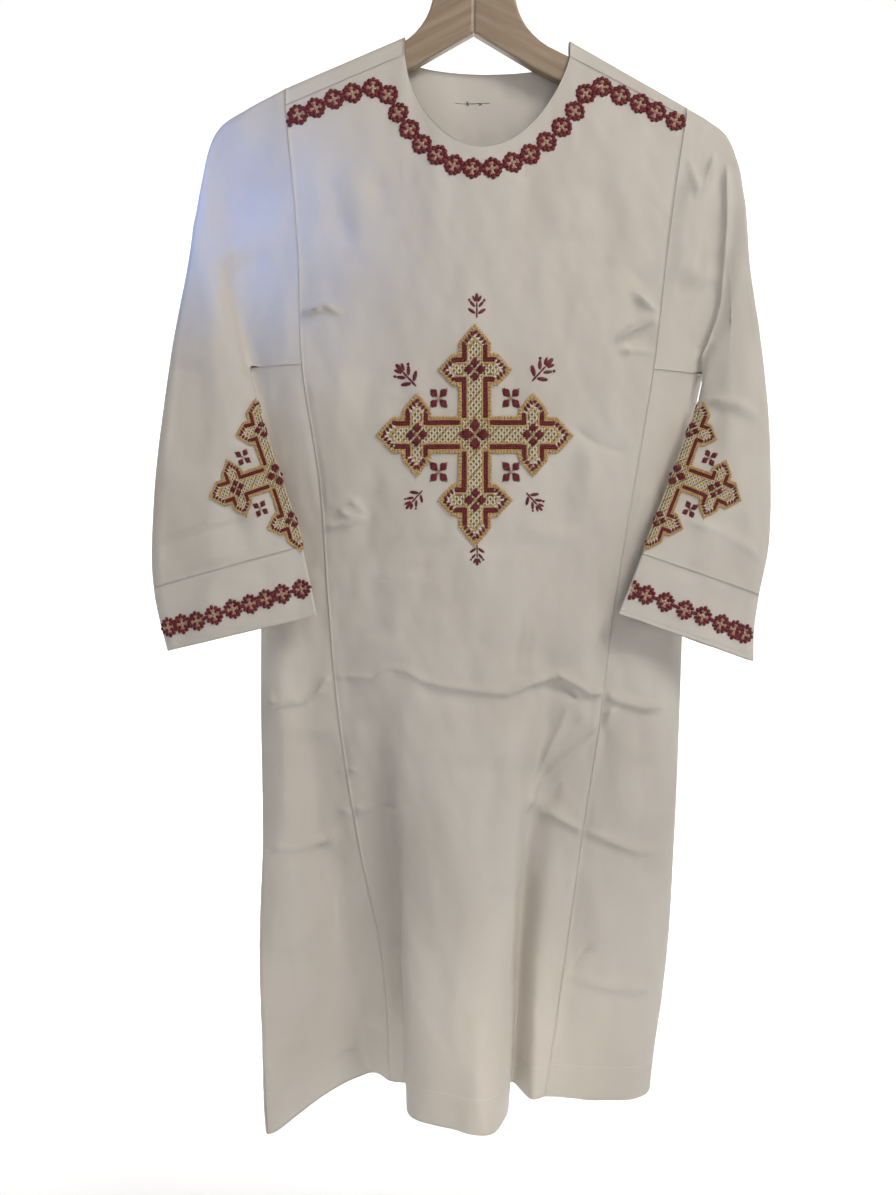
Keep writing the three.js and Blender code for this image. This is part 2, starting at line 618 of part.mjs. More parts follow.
function stitchedCross(name, spot, mirrored) {
  const outer = [];
  const inner = [];
  const numbers = new Map();
  const corner = (i, j) => {
    const key = `${i} ${j}`;
    if (!numbers.has(key)) {
      const { point, normal } = spot(i / CROSS_STEPS, j / CROSS_STEPS);
      numbers.set(key, outer.length);
      inner.push(point.clone().addScaledVector(normal, STITCHED_GAP));
      outer.push(point.clone().addScaledVector(normal, STITCHED_GAP + STITCHED_HEIGHT));
    }
    return numbers.get(key);
  };
  const faces = [];
  const quad = (a, b, c, d) => {
    if (mirrored) faces.push([a, c, b], [a, d, c]);
    else faces.push([a, b, c], [a, c, d]);
  };
  const squares = [];
  const reach = ARM_REACH.length - 1;
  for (let i = -reach; i <= reach; i += 1) {
    for (let j = -reach; j <= reach; j += 1) {
      if (inCross(i, j)) {
        const a = corner(i - 0.5, j - 0.5);
        const b = corner(i - 0.5, j + 0.5);
        const c = corner(i + 0.5, j + 0.5);
        const d = corner(i + 0.5, j - 0.5);
        const edges = [
          [inCross(i - 1, j), a, b],
          [inCross(i, j + 1), b, c],
          [inCross(i + 1, j), c, d],
          [inCross(i, j - 1), d, a],
        ];
        squares.push({ top: [a, b, c, d], edges });
      }
    }
  }
  const under = outer.length;
  for (const { top: [a, b, c, d], edges } of squares) {
    quad(a, b, c, d);
    quad(under + a, under + d, under + c, under + b);
    for (const [joined, from, to] of edges) if (!joined) quad(from, under + from, under + to, to);
  }
  return closedMesh(name, [...outer, ...inner], faces, COLOUR.gold, 0.6);
}

function crosses() {
  return [
    stitchedCross("cross_chest", chestSpot, false),
    stitchedCross("cross_sleeve_left", (across, down) => sleeveSpot(-1, across, down), true),
    stitchedCross("cross_sleeve_right", (across, down) => sleeveSpot(1, across, down), false),
  ];
}

// ---------------------------------------------------------------- hanger

function hangerHalf(name, side) {
  // Half a hanger: the crown by the middle, the neck's hollow, and the arm with a round end.
  const fall = Math.tan(THREE.MathUtils.degToRad(HANGER.slope));
  const crown = HANGER.crownHalf;
  const armTop = (x) => HANGER.armTop - (x - HANGER.armStart) * fall;
  const armDepth = HANGER.armDepth;
  const end = HANGER.reach;
  const edge = HANGER.edgeRound;
  const outline = new THREE.Shape();
  outline.moveTo(HANGER.mitreGap / 2 + edge, HANGER.crownTop - edge);
  outline.lineTo(crown - 8, HANGER.crownTop - edge);
  outline.quadraticCurveTo(crown + 4, HANGER.crownTop - 2, crown + 9, -88);
  outline.quadraticCurveTo(crown + 15, -116, HANGER.armStart, HANGER.armTop - edge);
  outline.lineTo(end - 14, armTop(end - 14) - edge);
  outline.quadraticCurveTo(end - 1, armTop(end) + 1, end - edge, armTop(end) - 12);
  outline.quadraticCurveTo(end - 3, armTop(end) - 22, end - 15, armTop(end - 12) - armDepth + edge);
  outline.lineTo(60, armTop(60) - armDepth - 1);
  outline.lineTo(HANGER.mitreGap / 2 + edge, HANGER.crownBottom + edge);
  outline.closePath();
  const geometry = new THREE.ExtrudeGeometry(outline, {
    depth: HANGER.thickness - 2 * edge, bevelThickness: edge, bevelSize: edge, bevelSegments: 2,
    bevelEnabled: true, curveSegments: 6,
  });
  geometry.rotateX(Math.PI / 2);
  geometry.translate(0, HANGER.thickness / 2 - edge, 0);
  if (side < 0) geometry.rotateZ(Math.PI);
  geometry.deleteAttribute("normal");
  geometry.deleteAttribute("uv");
  const mesh = new THREE.Mesh(
    mergeVertices(geometry, 1e-3),
    new THREE.MeshStandardMaterial({ color: COLOUR.wood, roughness: 0.55 }),
  );
  mesh.name = name;
  return mesh;
}

function hangerHook() {
  // The wire rises from the crown, goes round to the right, over the top and down the left.
  const middle = vector(0, 0, HOOK.wire / 2 - HOOK.bend);
  const points = [vector(0, 0, HANGER.crownTop + 0.3), vector(0, 0, HANGER.crownTop + 8)];
  for (const angle of steps(HOOK.start, HOOK.start + HOOK.turn, 14)) {
    const turn = THREE.MathUtils.degToRad(angle);
    points.push(vector(Math.cos(turn), 0, Math.sin(turn)).multiplyScalar(HOOK.bend).add(middle));
  }
  const section = new THREE.Shape();
  section.absarc(0, 0, HOOK.wire / 2, 0, Math.PI * 2);
  const geometry = new THREE.ExtrudeGeometry(section, {
    extrudePath: new THREE.CatmullRomCurve3(points), steps: 44, curveSegments: 5,
  });
  geometry.deleteAttribute("normal");
  geometry.deleteAttribute("uv");
  const mesh = new THREE.Mesh(
    mergeVertices(geometry, 1e-3),
    new THREE.MeshStandardMaterial({ color: COLOUR.steel, roughness: 0.3, metalness: 1 }),
  );
  mesh.name = "hook";
  return mesh;
}

function hanger() {
  const group = new THREE.Group();
  group.add(hangerHalf("hanger_left", -1), hangerHalf("hanger_right", 1), hangerHook());
  group.rotation.y = THREE.MathUtils.degToRad(HANGER.tilt);
  return group;
}

// ---------------------------------------------------------------- the whole

const tunic = new THREE.Group();
tunic.add(...bodyPanels(), ...sleeves(), ...crosses());
tunic.add(shoulderStrip("shoulder_strip_left", ARMHOLE.left + SEAM_GAP, NECK.left));
tunic.add(shoulderStrip("shoulder_strip_right", NECK.right, ARMHOLE.right - SEAM_GAP));
tunic.add(hanger());

export default tunic;
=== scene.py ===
# A deacon's tunic of white cloth with embroidered crosses, on a wooden hanger.
# The sizes in the tables are in millimetres and are turned to metres when a mesh is made.
import json
import math
import random

import bpy
import numpy as np
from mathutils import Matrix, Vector
from mathutils.bvhtree import BVHTree

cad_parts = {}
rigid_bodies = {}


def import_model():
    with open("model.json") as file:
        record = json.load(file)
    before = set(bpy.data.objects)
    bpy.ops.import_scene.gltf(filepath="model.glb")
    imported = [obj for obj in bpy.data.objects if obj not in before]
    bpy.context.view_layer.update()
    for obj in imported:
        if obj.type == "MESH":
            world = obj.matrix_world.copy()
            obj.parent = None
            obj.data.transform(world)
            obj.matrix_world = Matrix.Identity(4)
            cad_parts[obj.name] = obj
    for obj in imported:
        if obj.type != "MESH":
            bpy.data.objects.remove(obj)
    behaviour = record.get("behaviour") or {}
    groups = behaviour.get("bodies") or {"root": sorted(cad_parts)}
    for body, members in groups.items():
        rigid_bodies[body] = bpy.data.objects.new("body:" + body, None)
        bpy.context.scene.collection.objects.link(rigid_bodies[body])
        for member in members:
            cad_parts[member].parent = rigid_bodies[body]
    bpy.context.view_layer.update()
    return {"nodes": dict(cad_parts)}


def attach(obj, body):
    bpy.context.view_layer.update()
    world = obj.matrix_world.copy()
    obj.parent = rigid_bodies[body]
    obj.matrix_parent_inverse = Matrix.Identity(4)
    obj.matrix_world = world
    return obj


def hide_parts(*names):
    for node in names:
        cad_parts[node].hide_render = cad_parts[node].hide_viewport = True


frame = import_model()

MM = 0.001

# ---- lines round the body

NONE = float("nan")
FRONT_LINES = (
    "sideL goreL valleyL seamL tuckL crestL centreL centreR crestR valleyR ridgeR seamR goreR foldR sideR"
).split()
BACK_LINES = (
    "backGoreR backSeamR backFoldR backMidR backCentre backMidL backFoldL backSeamL backGoreL"
).split()
RING_LINES = FRONT_LINES + BACK_LINES
LINE = {name: i for i, name in enumerate(RING_LINES)}
RING = len(RING_LINES)

CHEST_Z = -330
UNDERARM_Z = -447
UNDERARM_DIP = 0.014  # how much lower the underarm lies for each millimetre to the right
UNDERARM_FROM = -168
HEM_Z = -1170
LEVEL_Z = (NONE, CHEST_Z, UNDERARM_Z, -560, -675, -790, -905, -1035, HEM_Z)
UNDERARM = 2
HEM = len(LEVEL_Z) - 1

# One row for each level, one column for each line of FRONT_LINES: how far across, and how deep.
FRONT_ACROSS = (
    (NONE, NONE, NONE, -186, -128, -69, -36, 8, 54, 93, 148, 207, NONE, NONE, NONE),
    (NONE, NONE, NONE, -173, -128, -74, -34, 7, 58, 101, 145, 188, NONE, NONE, NONE),
    (-222, -208, -192, -168, -129, -76, -34, 6, 58, 101, 140, 173, 191, 209, 226),
    (-208, -196, -178, -151, -119, -73, -33, 6, 54, 94, 125, 155, 174, 192, 206),
    (-212, -193, -171, -143, -109, -72, -33, 6, 48, 83, 112, 136, 160, 184, 207),
    (-212, -190, -165, -133, -98, -72, -32, 6, 43, 70, 97, 122, 150, 178, 204),
    (-208, -182, -150, -116, -80, -68, -30, 6, 37, 51, 75, 105, 139, 171, 200),
    (-206, -172, -128, -93, -72, -67, -28, 7, 33, 44, 62, 88, 134, 171, 193),
    (-193, -149, -108, -86, -68, -63, -18, 10, 30, 39, 56, 70, 114, 156, 175),
)
FRONT_DEPTH = (
    (NONE, NONE, NONE, -9, -9, -10, -19, -24, -19, -10, -9, -9, NONE, NONE, NONE),
    (NONE, NONE, NONE, -16, -21, -25, -27, -28, -27, -24, -20, -16, NONE, NONE, NONE),
    (5, -6, -15, -21, -27, -31, -33, -34, -33, -30, -26, -21, -15, -6, 5),
    (9, -4, -11, -19, -29, -36, -39, -39, -37, -30, -27, -19, -12, -4, 9),
    (8, -8, -12, -18, -30, -40, -44, -43, -39, -27, -26, -18, -14, -8, 9),
    (4, -16, -8, -14, -26, -43, -50, -48, -38, -18, -23, -16, -17, -10, 10),
    (-10, -22, 0, -4, -10, -42, -53, -51, -36, -6, -17, -12, -14, -10, 14),
    (-34, -22, 25, 16, 14, -38, -57, -60, -34, 17, -8, -3, -7, -4, 20),
    (-68, 14, 66, 46, 39, -31, -61, -70, -31, 43, 5, 10, 3, 4, 22),
)
BACK_ACROSS = (
    (NONE, 207, 150, 93, 12, -69, -128, -186, NONE),
    (NONE, 188, 136, 76, 8, -60, -118, -173, NONE),
    (203, 173, 118, 60, 3, -54, -112, -168, -200),
    (192, 158, 108, 55, 0, -55, -108, -154, -192),
    (188, 146, 100, 50, -4, -58, -106, -146, -190),
    (183, 138, 96, 48, -4, -60, -108, -144, -187),
    (180, 134, 94, 44, -6, -62, -110, -146, -186),
    (178, 134, 92, 40, -8, -60, -112, -150, -188),
    (176, 136, 90, 38, -8, -58, -112, -156, -192),
)
BACK_DEPTH = (
    (NONE, 9, 9, 10, 18, 10, 9, 9, NONE),
    (NONE, 12, 16, 19, 21, 19, 16, 12, NONE),
    (14, 19, 24, 27, 26, 28, 25, 19, 14),
    (18, 26, 32, 36, 30, 38, 32, 26, 18),
    (22, 32, 40, 46, 34, 48, 40, 32, 22),
    (26, 38, 48, 56, 40, 58, 48, 38, 26),
    (32, 46, 58, 68, 48, 70, 58, 46, 32),
    (42, 58, 72, 86, 60, 88, 72, 58, 36),
    (56, 74, 90, 108, 78, 110, 90, 76, 30),
)

# Sleeve sections from the armhole to the wrist, in the columns below.
SLEEVE_COLUMNS = "outX outZ outY inX inZ inY half pinch".split()
SLEEVE_LEFT = (
    (-186, -170, 0, -168, -446, 0, 8.5, 20),
    (-222, -190, 0, -190, -446, 0, 9, 17),
    (-254, -214, 0, -207, -446, 0, 10, 11),
    (-268, -262, -2, -221, -446, -2, 12, 4),
    (-281, -347, -6, -211, -486, -16, 14, 2.6),
    (-295, -423, -9, -202, -519, -22, 15, 2.6),
    (-305, -495, -11, -190, -553, -26, 15, 2.6),
    (-312, -558, -12, -178, -587, -30, 15, 2.6),
    (-315, -625, -13, -171, -606, -32, 15, 2.6),
    (-313, -664, -14, -166, -624, -35, 14, 2.6),
    (-307, -695, -15, -158, -658, -39, 14, 2.6),
    (-299, -725, -16, -151, -690, -43, 14, 2.6),
)
SLEEVE_RIGHT = (
    (207, -186, 0, 173, -452, 0, 8.5, 20),
    (229, -201, 0, 194, -452, 0, 9, 17),
    (250, -222, 0, 211, -452, 0, 10, 11),
    (262, -267, -2, 225, -452, -2, 12, 4),
    (269, -347, -6, 216, -488, -16, 14, 2.6),
    (279, -423, -9, 203, -521, -22, 15, 2.6),
    (286, -495, -11, 191, -553, -26, 15, 2.6),
    (288, -558, -12, 178, -585, -30, 15, 2.6),
    (286, -620, -13, 168, -610, -32, 15, 2.6),
    (276, -671, -14, 159, -631, -35, 14, 2.6),
    (271, -705, -15, 147, -661, -39, 14, 2.6),
    (270, -735, -16, 135, -688, -43, 14, 2.6),
)
UNDERARM_SECTION = 3
CUFF_SECTION = 9
WRIST_SECTION = 11

# Neck, shoulders and hanger arm.
NECK_LEFT = -69
NECK_RIGHT = 93
ARMHOLE_LEFT = -186
ARMHOLE_RIGHT = 207
NECK_BOTTOM = -237
NECK_LOWEST_X = 8
NECK_FULLNESS = (0.62, 0.82)  # left and right of the lowest place: a smaller number is squarer
BACK_NECK_BOTTOM = -149
RIDGE_LEFT = (-121, 0.43)  # height at the neck corner, fall for each millimetre out
RIDGE_RIGHT = (-125, 0.57)
DROP_LEFT = (20, 20)  # from the ridge down to the front seam, at the neck and at the armhole
DROP_RIGHT = (18, 13)
BACK_DROP = 16
SHOULDER_RADIUS = 8.5
SHOULDER_LEAN = 0.5  # how much further out the cloth stands at its seams


# ---- small sums


def lerp(a, b, t):
    return a + (b - a) * t


def ease(t):
    t = np.clip(t, 0.0, 1.0)
    return t * t * (3 - 2 * t)


def unit(v):
    return v / np.maximum(np.linalg.norm(v, axis=-1, keepdims=True), 1e-9)


def padded_columns(rows, first):
    """A column of numbers for each line, with a straight run-on at both ends for smooth curves."""
    table = np.array(rows, dtype=float).T
    for line, column in enumerate(table):
        start = first[line]
        for row in range(start - 1, -1, -1):
            column[row] = 2 * column[row + 1] - column[row + 2]
    before = 2 * table[:, :1] - table[:, 1:2]
    after = 2 * table[:, -1:] - table[:, -2:-1]
    return np.hstack([before, table, after])


def cubic(start, slope, end, end_slope, f):
    """A share f of the way along a smooth curve with a slope at its start and at its end."""
    f2 = f * f
    f3 = f2 * f
    first = (2 * f3 - 3 * f2 + 1) * start + (f3 - 2 * f2 + f) * slope
    return first + (3 * f2 - 2 * f3) * end + (f3 - f2) * end_slope


def through(table, line, t):
    """A smooth curve through a line's numbers at t = 0, 1, 2, ..."""
    last = table.shape[1] - 3
    i = np.clip(np.floor(t).astype(int), 0, last - 1)
    a, b, c, d = (table[line, i + k] for k in range(4))
    return cubic(b, (c - a) / 2, c, (d - b) / 2, t - i)


def normals_of(point, a, b, step_a, step_b):
    """Outward normals of a surface whose a runs to the right and b down, seen from outside."""
    along_a = point(a + step_a, b) - point(a - step_a, b)
    along_b = point(a, b + step_b) - point(a, b - step_b)
    return unit(np.cross(along_b, along_a))


# ---- shoulders and neck


def ridge_height(x):
    left = RIDGE_LEFT[0] - (NECK_LEFT - x) * RIDGE_LEFT[1]
    right = RIDGE_RIGHT[0] - (x - NECK_RIGHT) * RIDGE_RIGHT[1]
    return np.where(x < (NECK_LEFT + NECK_RIGHT) / 2, left, right)


def front_drop(x):
    left = lerp(*DROP_LEFT, (NECK_LEFT - x) / (NECK_LEFT - ARMHOLE_LEFT))
    right = lerp(*DROP_RIGHT, (x - NECK_RIGHT) / (ARMHOLE_RIGHT - NECK_RIGHT))
    return np.where(x < 0, left, right)


def seam_height(x):
    return ridge_height(x) - front_drop(x)


def front_top(x):
    """Shoulder seam, neckline, shoulder seam. The neckline is a little fuller on the left."""
    left = x < NECK_LOWEST_X
    corner = np.where(left, float(NECK_LEFT), float(NECK_RIGHT))
    reach = np.clip((x - NECK_LOWEST_X) / (corner - NECK_LOWEST_X), 0, 1)
    depth = np.power(1 - reach * reach, np.where(left, *NECK_FULLNESS))
    neckline = lerp(seam_height(corner), NECK_BOTTOM, depth)
    return np.where((x <= NECK_LEFT) | (x >= NECK_RIGHT), seam_height(x), neckline)


def back_top(x):
    middle = (NECK_LEFT + NECK_RIGHT) / 2
    corner = np.where(x < middle, float(NECK_LEFT), float(NECK_RIGHT))
    reach = np.clip(np.abs((x - middle) / (NECK_RIGHT - middle)), 0, 1)
    neckline = lerp(ridge_height(corner) - BACK_DROP, BACK_NECK_BOTTOM, np.sqrt(1 - reach**3))
    return np.where((x <= NECK_LEFT) | (x >= NECK_RIGHT), ridge_height(x) - BACK_DROP, neckline)


def shoulder_point(x, across):
    """Over the hanger's arm: across is -1 at the front seam, 0 on the ridge, 1 at the back seam."""
    drop = np.where(across < 0, front_drop(x), float(BACK_DROP))
    side = np.sign(across)
    part = np.abs(across) * 2
    angle = np.minimum(part, 1) * math.pi / 2
    beyond = np.maximum(part - 1, 0)
    y = side * (SHOULDER_RADIUS * np.sin(angle) + SHOULDER_LEAN * beyond)
    down = SHOULDER_RADIUS * (1 - np.cos(angle)) + beyond * (drop - SHOULDER_RADIUS)
    return np.stack([x + 0 * across, y, ridge_height(x) - down], -1)


# ---- the body's surface

FIRST_LEVEL = [UNDERARM if math.isnan(row) else 0 for row in FRONT_ACROSS[0] + BACK_ACROSS[0]]
ACROSS = padded_columns([f + b for f, b in zip(FRONT_ACROSS, BACK_ACROSS)], FIRST_LEVEL)
DEPTH = padded_columns([f + b for f, b in zip(FRONT_DEPTH, BACK_DEPTH)], FIRST_LEVEL)


def line_point(line, level):
    return np.stack([through(ACROSS, line, level), through(DEPTH, line, level)], -1)


def level_height(level, x, front):
    underarm = UNDERARM_Z - UNDERARM_DIP * (x - UNDERARM_FROM)
    top = front_top(x) if front else back_top(x)
    i = np.clip(np.floor(level).astype(int), UNDERARM, HEM - 1)
    heights = np.array(LEVEL_Z, dtype=float)
    start = np.where(i == UNDERARM, underarm, heights[i])
    below = lerp(start, heights[i + 1], level - i)
    above = np.where(level <= 1, lerp(top, CHEST_Z, level), lerp(CHEST_Z, underarm, level - 1))
    return np.where(level < UNDERARM, above, below)


def body(line, level, front=True):
    """Points of the body. Below the underarm it is one ring; above it, front and back are apart."""
    line, level = np.broadcast_arrays(np.asarray(line, float), np.asarray(level, float))
    open_part = level < UNDERARM
    first, last = (LINE[name] for name in (("seamL", "seamR") if front else ("backSeamR", "backSeamL")))
    at = np.where(open_part, np.clip(line, first, last), np.mod(line, RING))
    i = np.floor(at).astype(int)
    i = np.where(open_part, np.clip(i, first, last - 1), np.mod(i, RING))
    p = [line_point(np.mod(i + k, RING), level) for k in (-1, 0, 1, 2)]
    starts = (open_part & (i == first))[..., None]
    ends = (open_part & (i == last - 1))[..., None]
    p[0] = np.where(starts, 2 * p[1] - p[2], p[0])
    p[3] = np.where(ends, 2 * p[2] - p[1], p[3])
    spans = [np.linalg.norm(p[k + 1] - p[k], axis=-1, keepdims=True) for k in range(3)]
    gap = [np.maximum(span, 1e-6) ** 0.5 for span in spans]
    slopes = []
    for k in (0, 1):
        whole = (p[k + 2] - p[k]) / (gap[k] + gap[k + 1])
        slope = (p[k + 1] - p[k]) / gap[k] - whole + (p[k + 2] - p[k + 1]) / gap[k + 1]
        slopes.append(slope * gap[1])
    flat = cubic(p[1], slopes[0], p[2], slopes[1], (at - i)[..., None])
    z = level_height(level, flat[..., 0], front)
    return np.concatenate([flat, z[..., None]], -1)


# ---- the sleeves' surface

SEAMS = {-1: ("seamL", "backSeamL"), 1: ("seamR", "backSeamR")}
ARMHOLE = {-1: ARMHOLE_LEFT, 1: ARMHOLE_RIGHT}
SLEEVE = {
    side: padded_columns(rows, [0] * len(SLEEVE_COLUMNS))
    for side, rows in ((-1, SLEEVE_LEFT), (1, SLEEVE_RIGHT))
}

# Shares of a section's half, counted from the fold along its underside up to its top fold.
OUTER_ARC = 0.88  # where the top fold's round starts
WEDGE = 0.6  # where the cloth has its full depth
INNER_ARC = 0.03  # where the underside's round ends
UNDERSIDE = 0.3  # how far up the gores' upper edge draws the cloth

# Places along the sleeve, counted in sections.
LEAVES_ARMHOLE = 2.2  # where the armhole no longer draws it
LEAVES_GORE, LEAVES_GORE_OVER = 2.4, 0.9
CLOSES, CLOSES_OVER = 2.8, 0.8
BESIDE_SIDE = 0.35  # how far from the side line the gores' upper edge ends, in lines


def folded(ring):
    """Whether a place round the ring is in front, and how far up from the underside it is."""
    turn = np.mod(ring, 1.0)
    front = turn < 0.5
    return front, np.where(front, turn / 0.5, (1 - turn) / 0.5)


def armhole_point(side, front, up):
    level = UNDERARM * (1 - np.clip(up / OUTER_ARC, 0, 1))
    on_front, on_back = (body(LINE[name], level, name in FRONT_LINES) for name in SEAMS[side])
    low = np.where(front[..., None], on_front, on_back)
    across = 1 - (np.clip(up, OUTER_ARC, 1) - OUTER_ARC) / (1 - OUTER_ARC)
    high = shoulder_point(np.full(up.shape, float(ARMHOLE[side])), np.where(front, -across, across))
    return np.where((up < OUTER_ARC)[..., None], low, high)


def section_point(side, front, up, place):
    columns = (through(SLEEVE[side], k, place) for k in range(len(SLEEVE_COLUMNS)))
    out_x, out_z, out_y, in_x, in_z, in_y, half, pinch = columns
    along = np.stack([out_x - in_x, out_z - in_z], -1)
    chord = np.linalg.norm(along, axis=-1) - half
    along = unit(along)
    closed = ease((place - CLOSES) / CLOSES_OVER)
    arc = INNER_ARC * closed
    top = np.clip((up - OUTER_ARC) / (1 - OUTER_ARC), 0, 1) * math.pi / 2
    low = lerp((1 - closed) * math.pi / 2, math.pi / 2, np.clip(up / np.maximum(arc, 1e-6), 0, 1))
    share = np.clip((up - arc) / (OUTER_ARC - arc), 0, 1)
    reach = lerp(pinch * closed, chord, share)
    depth = lerp(pinch, half, np.clip(share / WEDGE, 0, 1))
    reach = np.where(up > OUTER_ARC, chord + half * np.sin(top), reach)
    depth = np.where(up > OUTER_ARC, half * np.cos(top), depth)
    reach = np.where(up < arc, pinch * closed - pinch * np.cos(low), reach)
    depth = np.where(up < arc, pinch * np.sin(low), depth)
    y = lerp(in_y, out_y, np.clip(reach / chord, 0, 1)) + np.where(front, -depth, depth)
    return np.stack([in_x + along[..., 0] * reach, y, in_z + along[..., 1] * reach], -1)


def sleeve(side, ring, place):
    """The sections, drawn to the armhole at the top and to the gores' upper edge underneath."""
    ring, place = np.broadcast_arrays(np.asarray(ring, float), np.asarray(place, float))
    front, up = folded(ring)
    zero = np.zeros_like(up)
    to_armhole = (1 - ease(place / LEAVES_ARMHOLE))[..., None]

    def drawn(up):
        to_start = armhole_point(side, front, up) - section_point(side, front, up, zero)
        return section_point(side, front, up, place) + to_armhole * to_start

    to_gore = np.where(place > 0, 1 - ease((place - LEAVES_GORE) / LEAVES_GORE_OVER), 0)
    seam = np.where(front, *(LINE[name] for name in SEAMS[side]))
    if side < 0:
        near = np.where(front, BESIDE_SIDE, RING - BESIDE_SIDE)
    else:
        near = LINE["sideR"] + np.where(front, -BESIDE_SIDE, BESIDE_SIDE)
    edge = body(lerp(seam, near, np.clip(place / UNDERARM_SECTION, 0, 1)), float(UNDERARM))
    return drawn(up) + (to_gore * (1 - ease(up / UNDERSIDE)))[..., None] * (edge - drawn(zero))


# ---- creases and soft folds

# Each fold: where it runs (across, height), how far it stands out (minus for a trough), how wide.
# Folds left by packing are sharp and thin; those that hang are broad.
FRONT_FOLDS = (
    # the line across the middle, from side to side, and the bits that leave it
    (((-203, -757), (-196, -778), (-166, -773), (-152, -764), (-147, -754), (-132, -749), (-96, -750),
      (-87, -743), (-79, -740), (-66, -742), (-50, -752), (-26, -757), (1, -761), (30, -764), (52, -755),
      (81, -748), (98, -757), (109, -765), (123, -766), (138, -773), (162, -780), (190, -781)), 1.9, 2.6),
    (((-60, -760), (-16, -770), (22, -777)), -1.2, 6),
    (((60, -763), (84, -760), (104, -776)), -1.4, 5),
    (((72, -757), (83, -754), (94, -762), (101, -772)), 1.2, 2.6),
    (((30, -764), (38, -742), (42, -712), (46, -676)), -1.2, 5),
    (((52, -755), (56, -720), (58, -690)), 1.0, 4),
    # slanting creases from the right of that line to the fold below
    (((142, -776), (122, -792), (96, -818), (72, -842), (54, -866), (46, -884)), 2.4, 5),
    (((134, -796), (104, -826), (76, -856), (60, -880)), -2.4, 7),
    (((104, -782), (88, -806), (70, -838), (56, -862)), -1.8, 6),
    (((92, -770), (82, -800), (64, -836), (50, -864)), 1.8, 4),
    (((60, -886), (74, -882), (90, -892), (106, -900), (120, -904), (138, -912), (160, -921),
      (191, -921)), 1.5, 3),
    (((66, -877), (100, -886), (140, -903)), 1.1, 7),
    (((-140, -884), (-119, -882), (-96, -878), (-60, -871)), 1.8, 3.2),
    (((-204, -914), (-173, -917), (-146, -912), (-132, -898)), 1.8, 3.2),
    (((-138, -845), (-128, -840), (-112, -841)), 1.0, 3),
    # round the hem
    (((-99, -1027), (-83, -1026), (-69, -1012)), 1.6, 4),
    (((-130, -1027), (-103, -1065), (-108, -1117)), 2.0, 8),
    (((77, -1043), (93, -1040), (119, -1009)), -1.6, 4),
    (((87, -1045), (135, -1055), (168, -1057), (181, -1045)), 1.5, 5),
    (((-186, -1005), (-170, -1060), (-166, -1120)), -1.6, 9),
    # a pinch beside the left seam, and the shade beside the cross
    (((-134, -588), (-118, -596), (-103, -597)), 1.9, 3),
    (((-122, -576), (-111, -588), (-103, -597)), 1.5, 3),
    (((-154, -607), (-130, -603), (-103, -598)), 1.4, 3),
    (((-98, -440), (-106, -490), (-108, -530)), -1.4, 6),
    # the chest, beside the sleeves
    (((150, -376), (164, -388), (178, -397), (190, -403)), 2.6, 3),
    (((130, -430), (152, -413), (173, -404), (188, -402)), 2.5, 3.2),
    (((140, -434), (158, -423), (184, -414)), -2.4, 6),
    (((134, -437), (155, -434), (184, -436)), 1.9, 3),
    (((150, -352), (171, -376), (184, -400)), -2.0, 6),
    (((-182, -400), (-169, -399), (-142, -393), (-126, -403)), 2.3, 3),
    (((-175, -376), (-172, -336)), -1.4, 7),
    (((-128, -250), (-112, -300), (-120, -352)), 1.5, 9),
    (((-98, -262), (-88, -316)), -1.3, 8),
    (((-140, -292), (-122, -330), (-98, -352)), -1.2, 7),
    (((118, -262), (130, -318), (126, -372)), -1.6, 12),
    (((92, -272), (100, -330)), 1.2, 10),
    (((-150, -455), (-132, -520), (-135, -600)), 1.4, 11),
    (((-110, -560), (-104, -640), (-96, -720)), -1.6, 12),
    (((-64, -640), (-70, -700), (-84, -738)), 1.3, 9),
    (((104, -520), (112, -548), (106, -590)), 1.5, 6),
    (((88, -506), (120, -528), (150, -534)), -1.0, 5),
    (((90, -600), (84, -668), (76, -740)), 1.7, 10),
    (((58, -606), (52, -690), (48, -744)), -1.2, 10),
    (((120, -600), (118, -690), (120, -752)), -1.4, 9),
    (((-42, -610), (-36, -700)), -1.0, 16),
    (((10, -620), (14, -720)), 1.0, 18),
    (((-20, -800), (-24, -900), (-30, -1010)), 1.2, 22),
    (((14, -820), (8, -930), (6, -1060)), -1.2, 20),
    (((30, -790), (28, -870), (22, -960)), 1.3, 9),
    (((-160, -640), (-168, -700), (-176, -748)), 1.4, 8),
    (((160, -560), (170, -640), (172, -720)), 1.5, 10),
    (((-120, -790), (-100, -840), (-92, -880)), 1.5, 10),
    (((-160, -800), (-166, -870), (-176, -940)), -1.5, 11),
    (((140, -800), (150, -860), (150, -905)), 1.6, 11),
    (((168, -820), (160, -880), (168, -960)), -1.4, 9),
    (((100, -930), (118, -980), (140, -1030)), 1.5, 10),
)
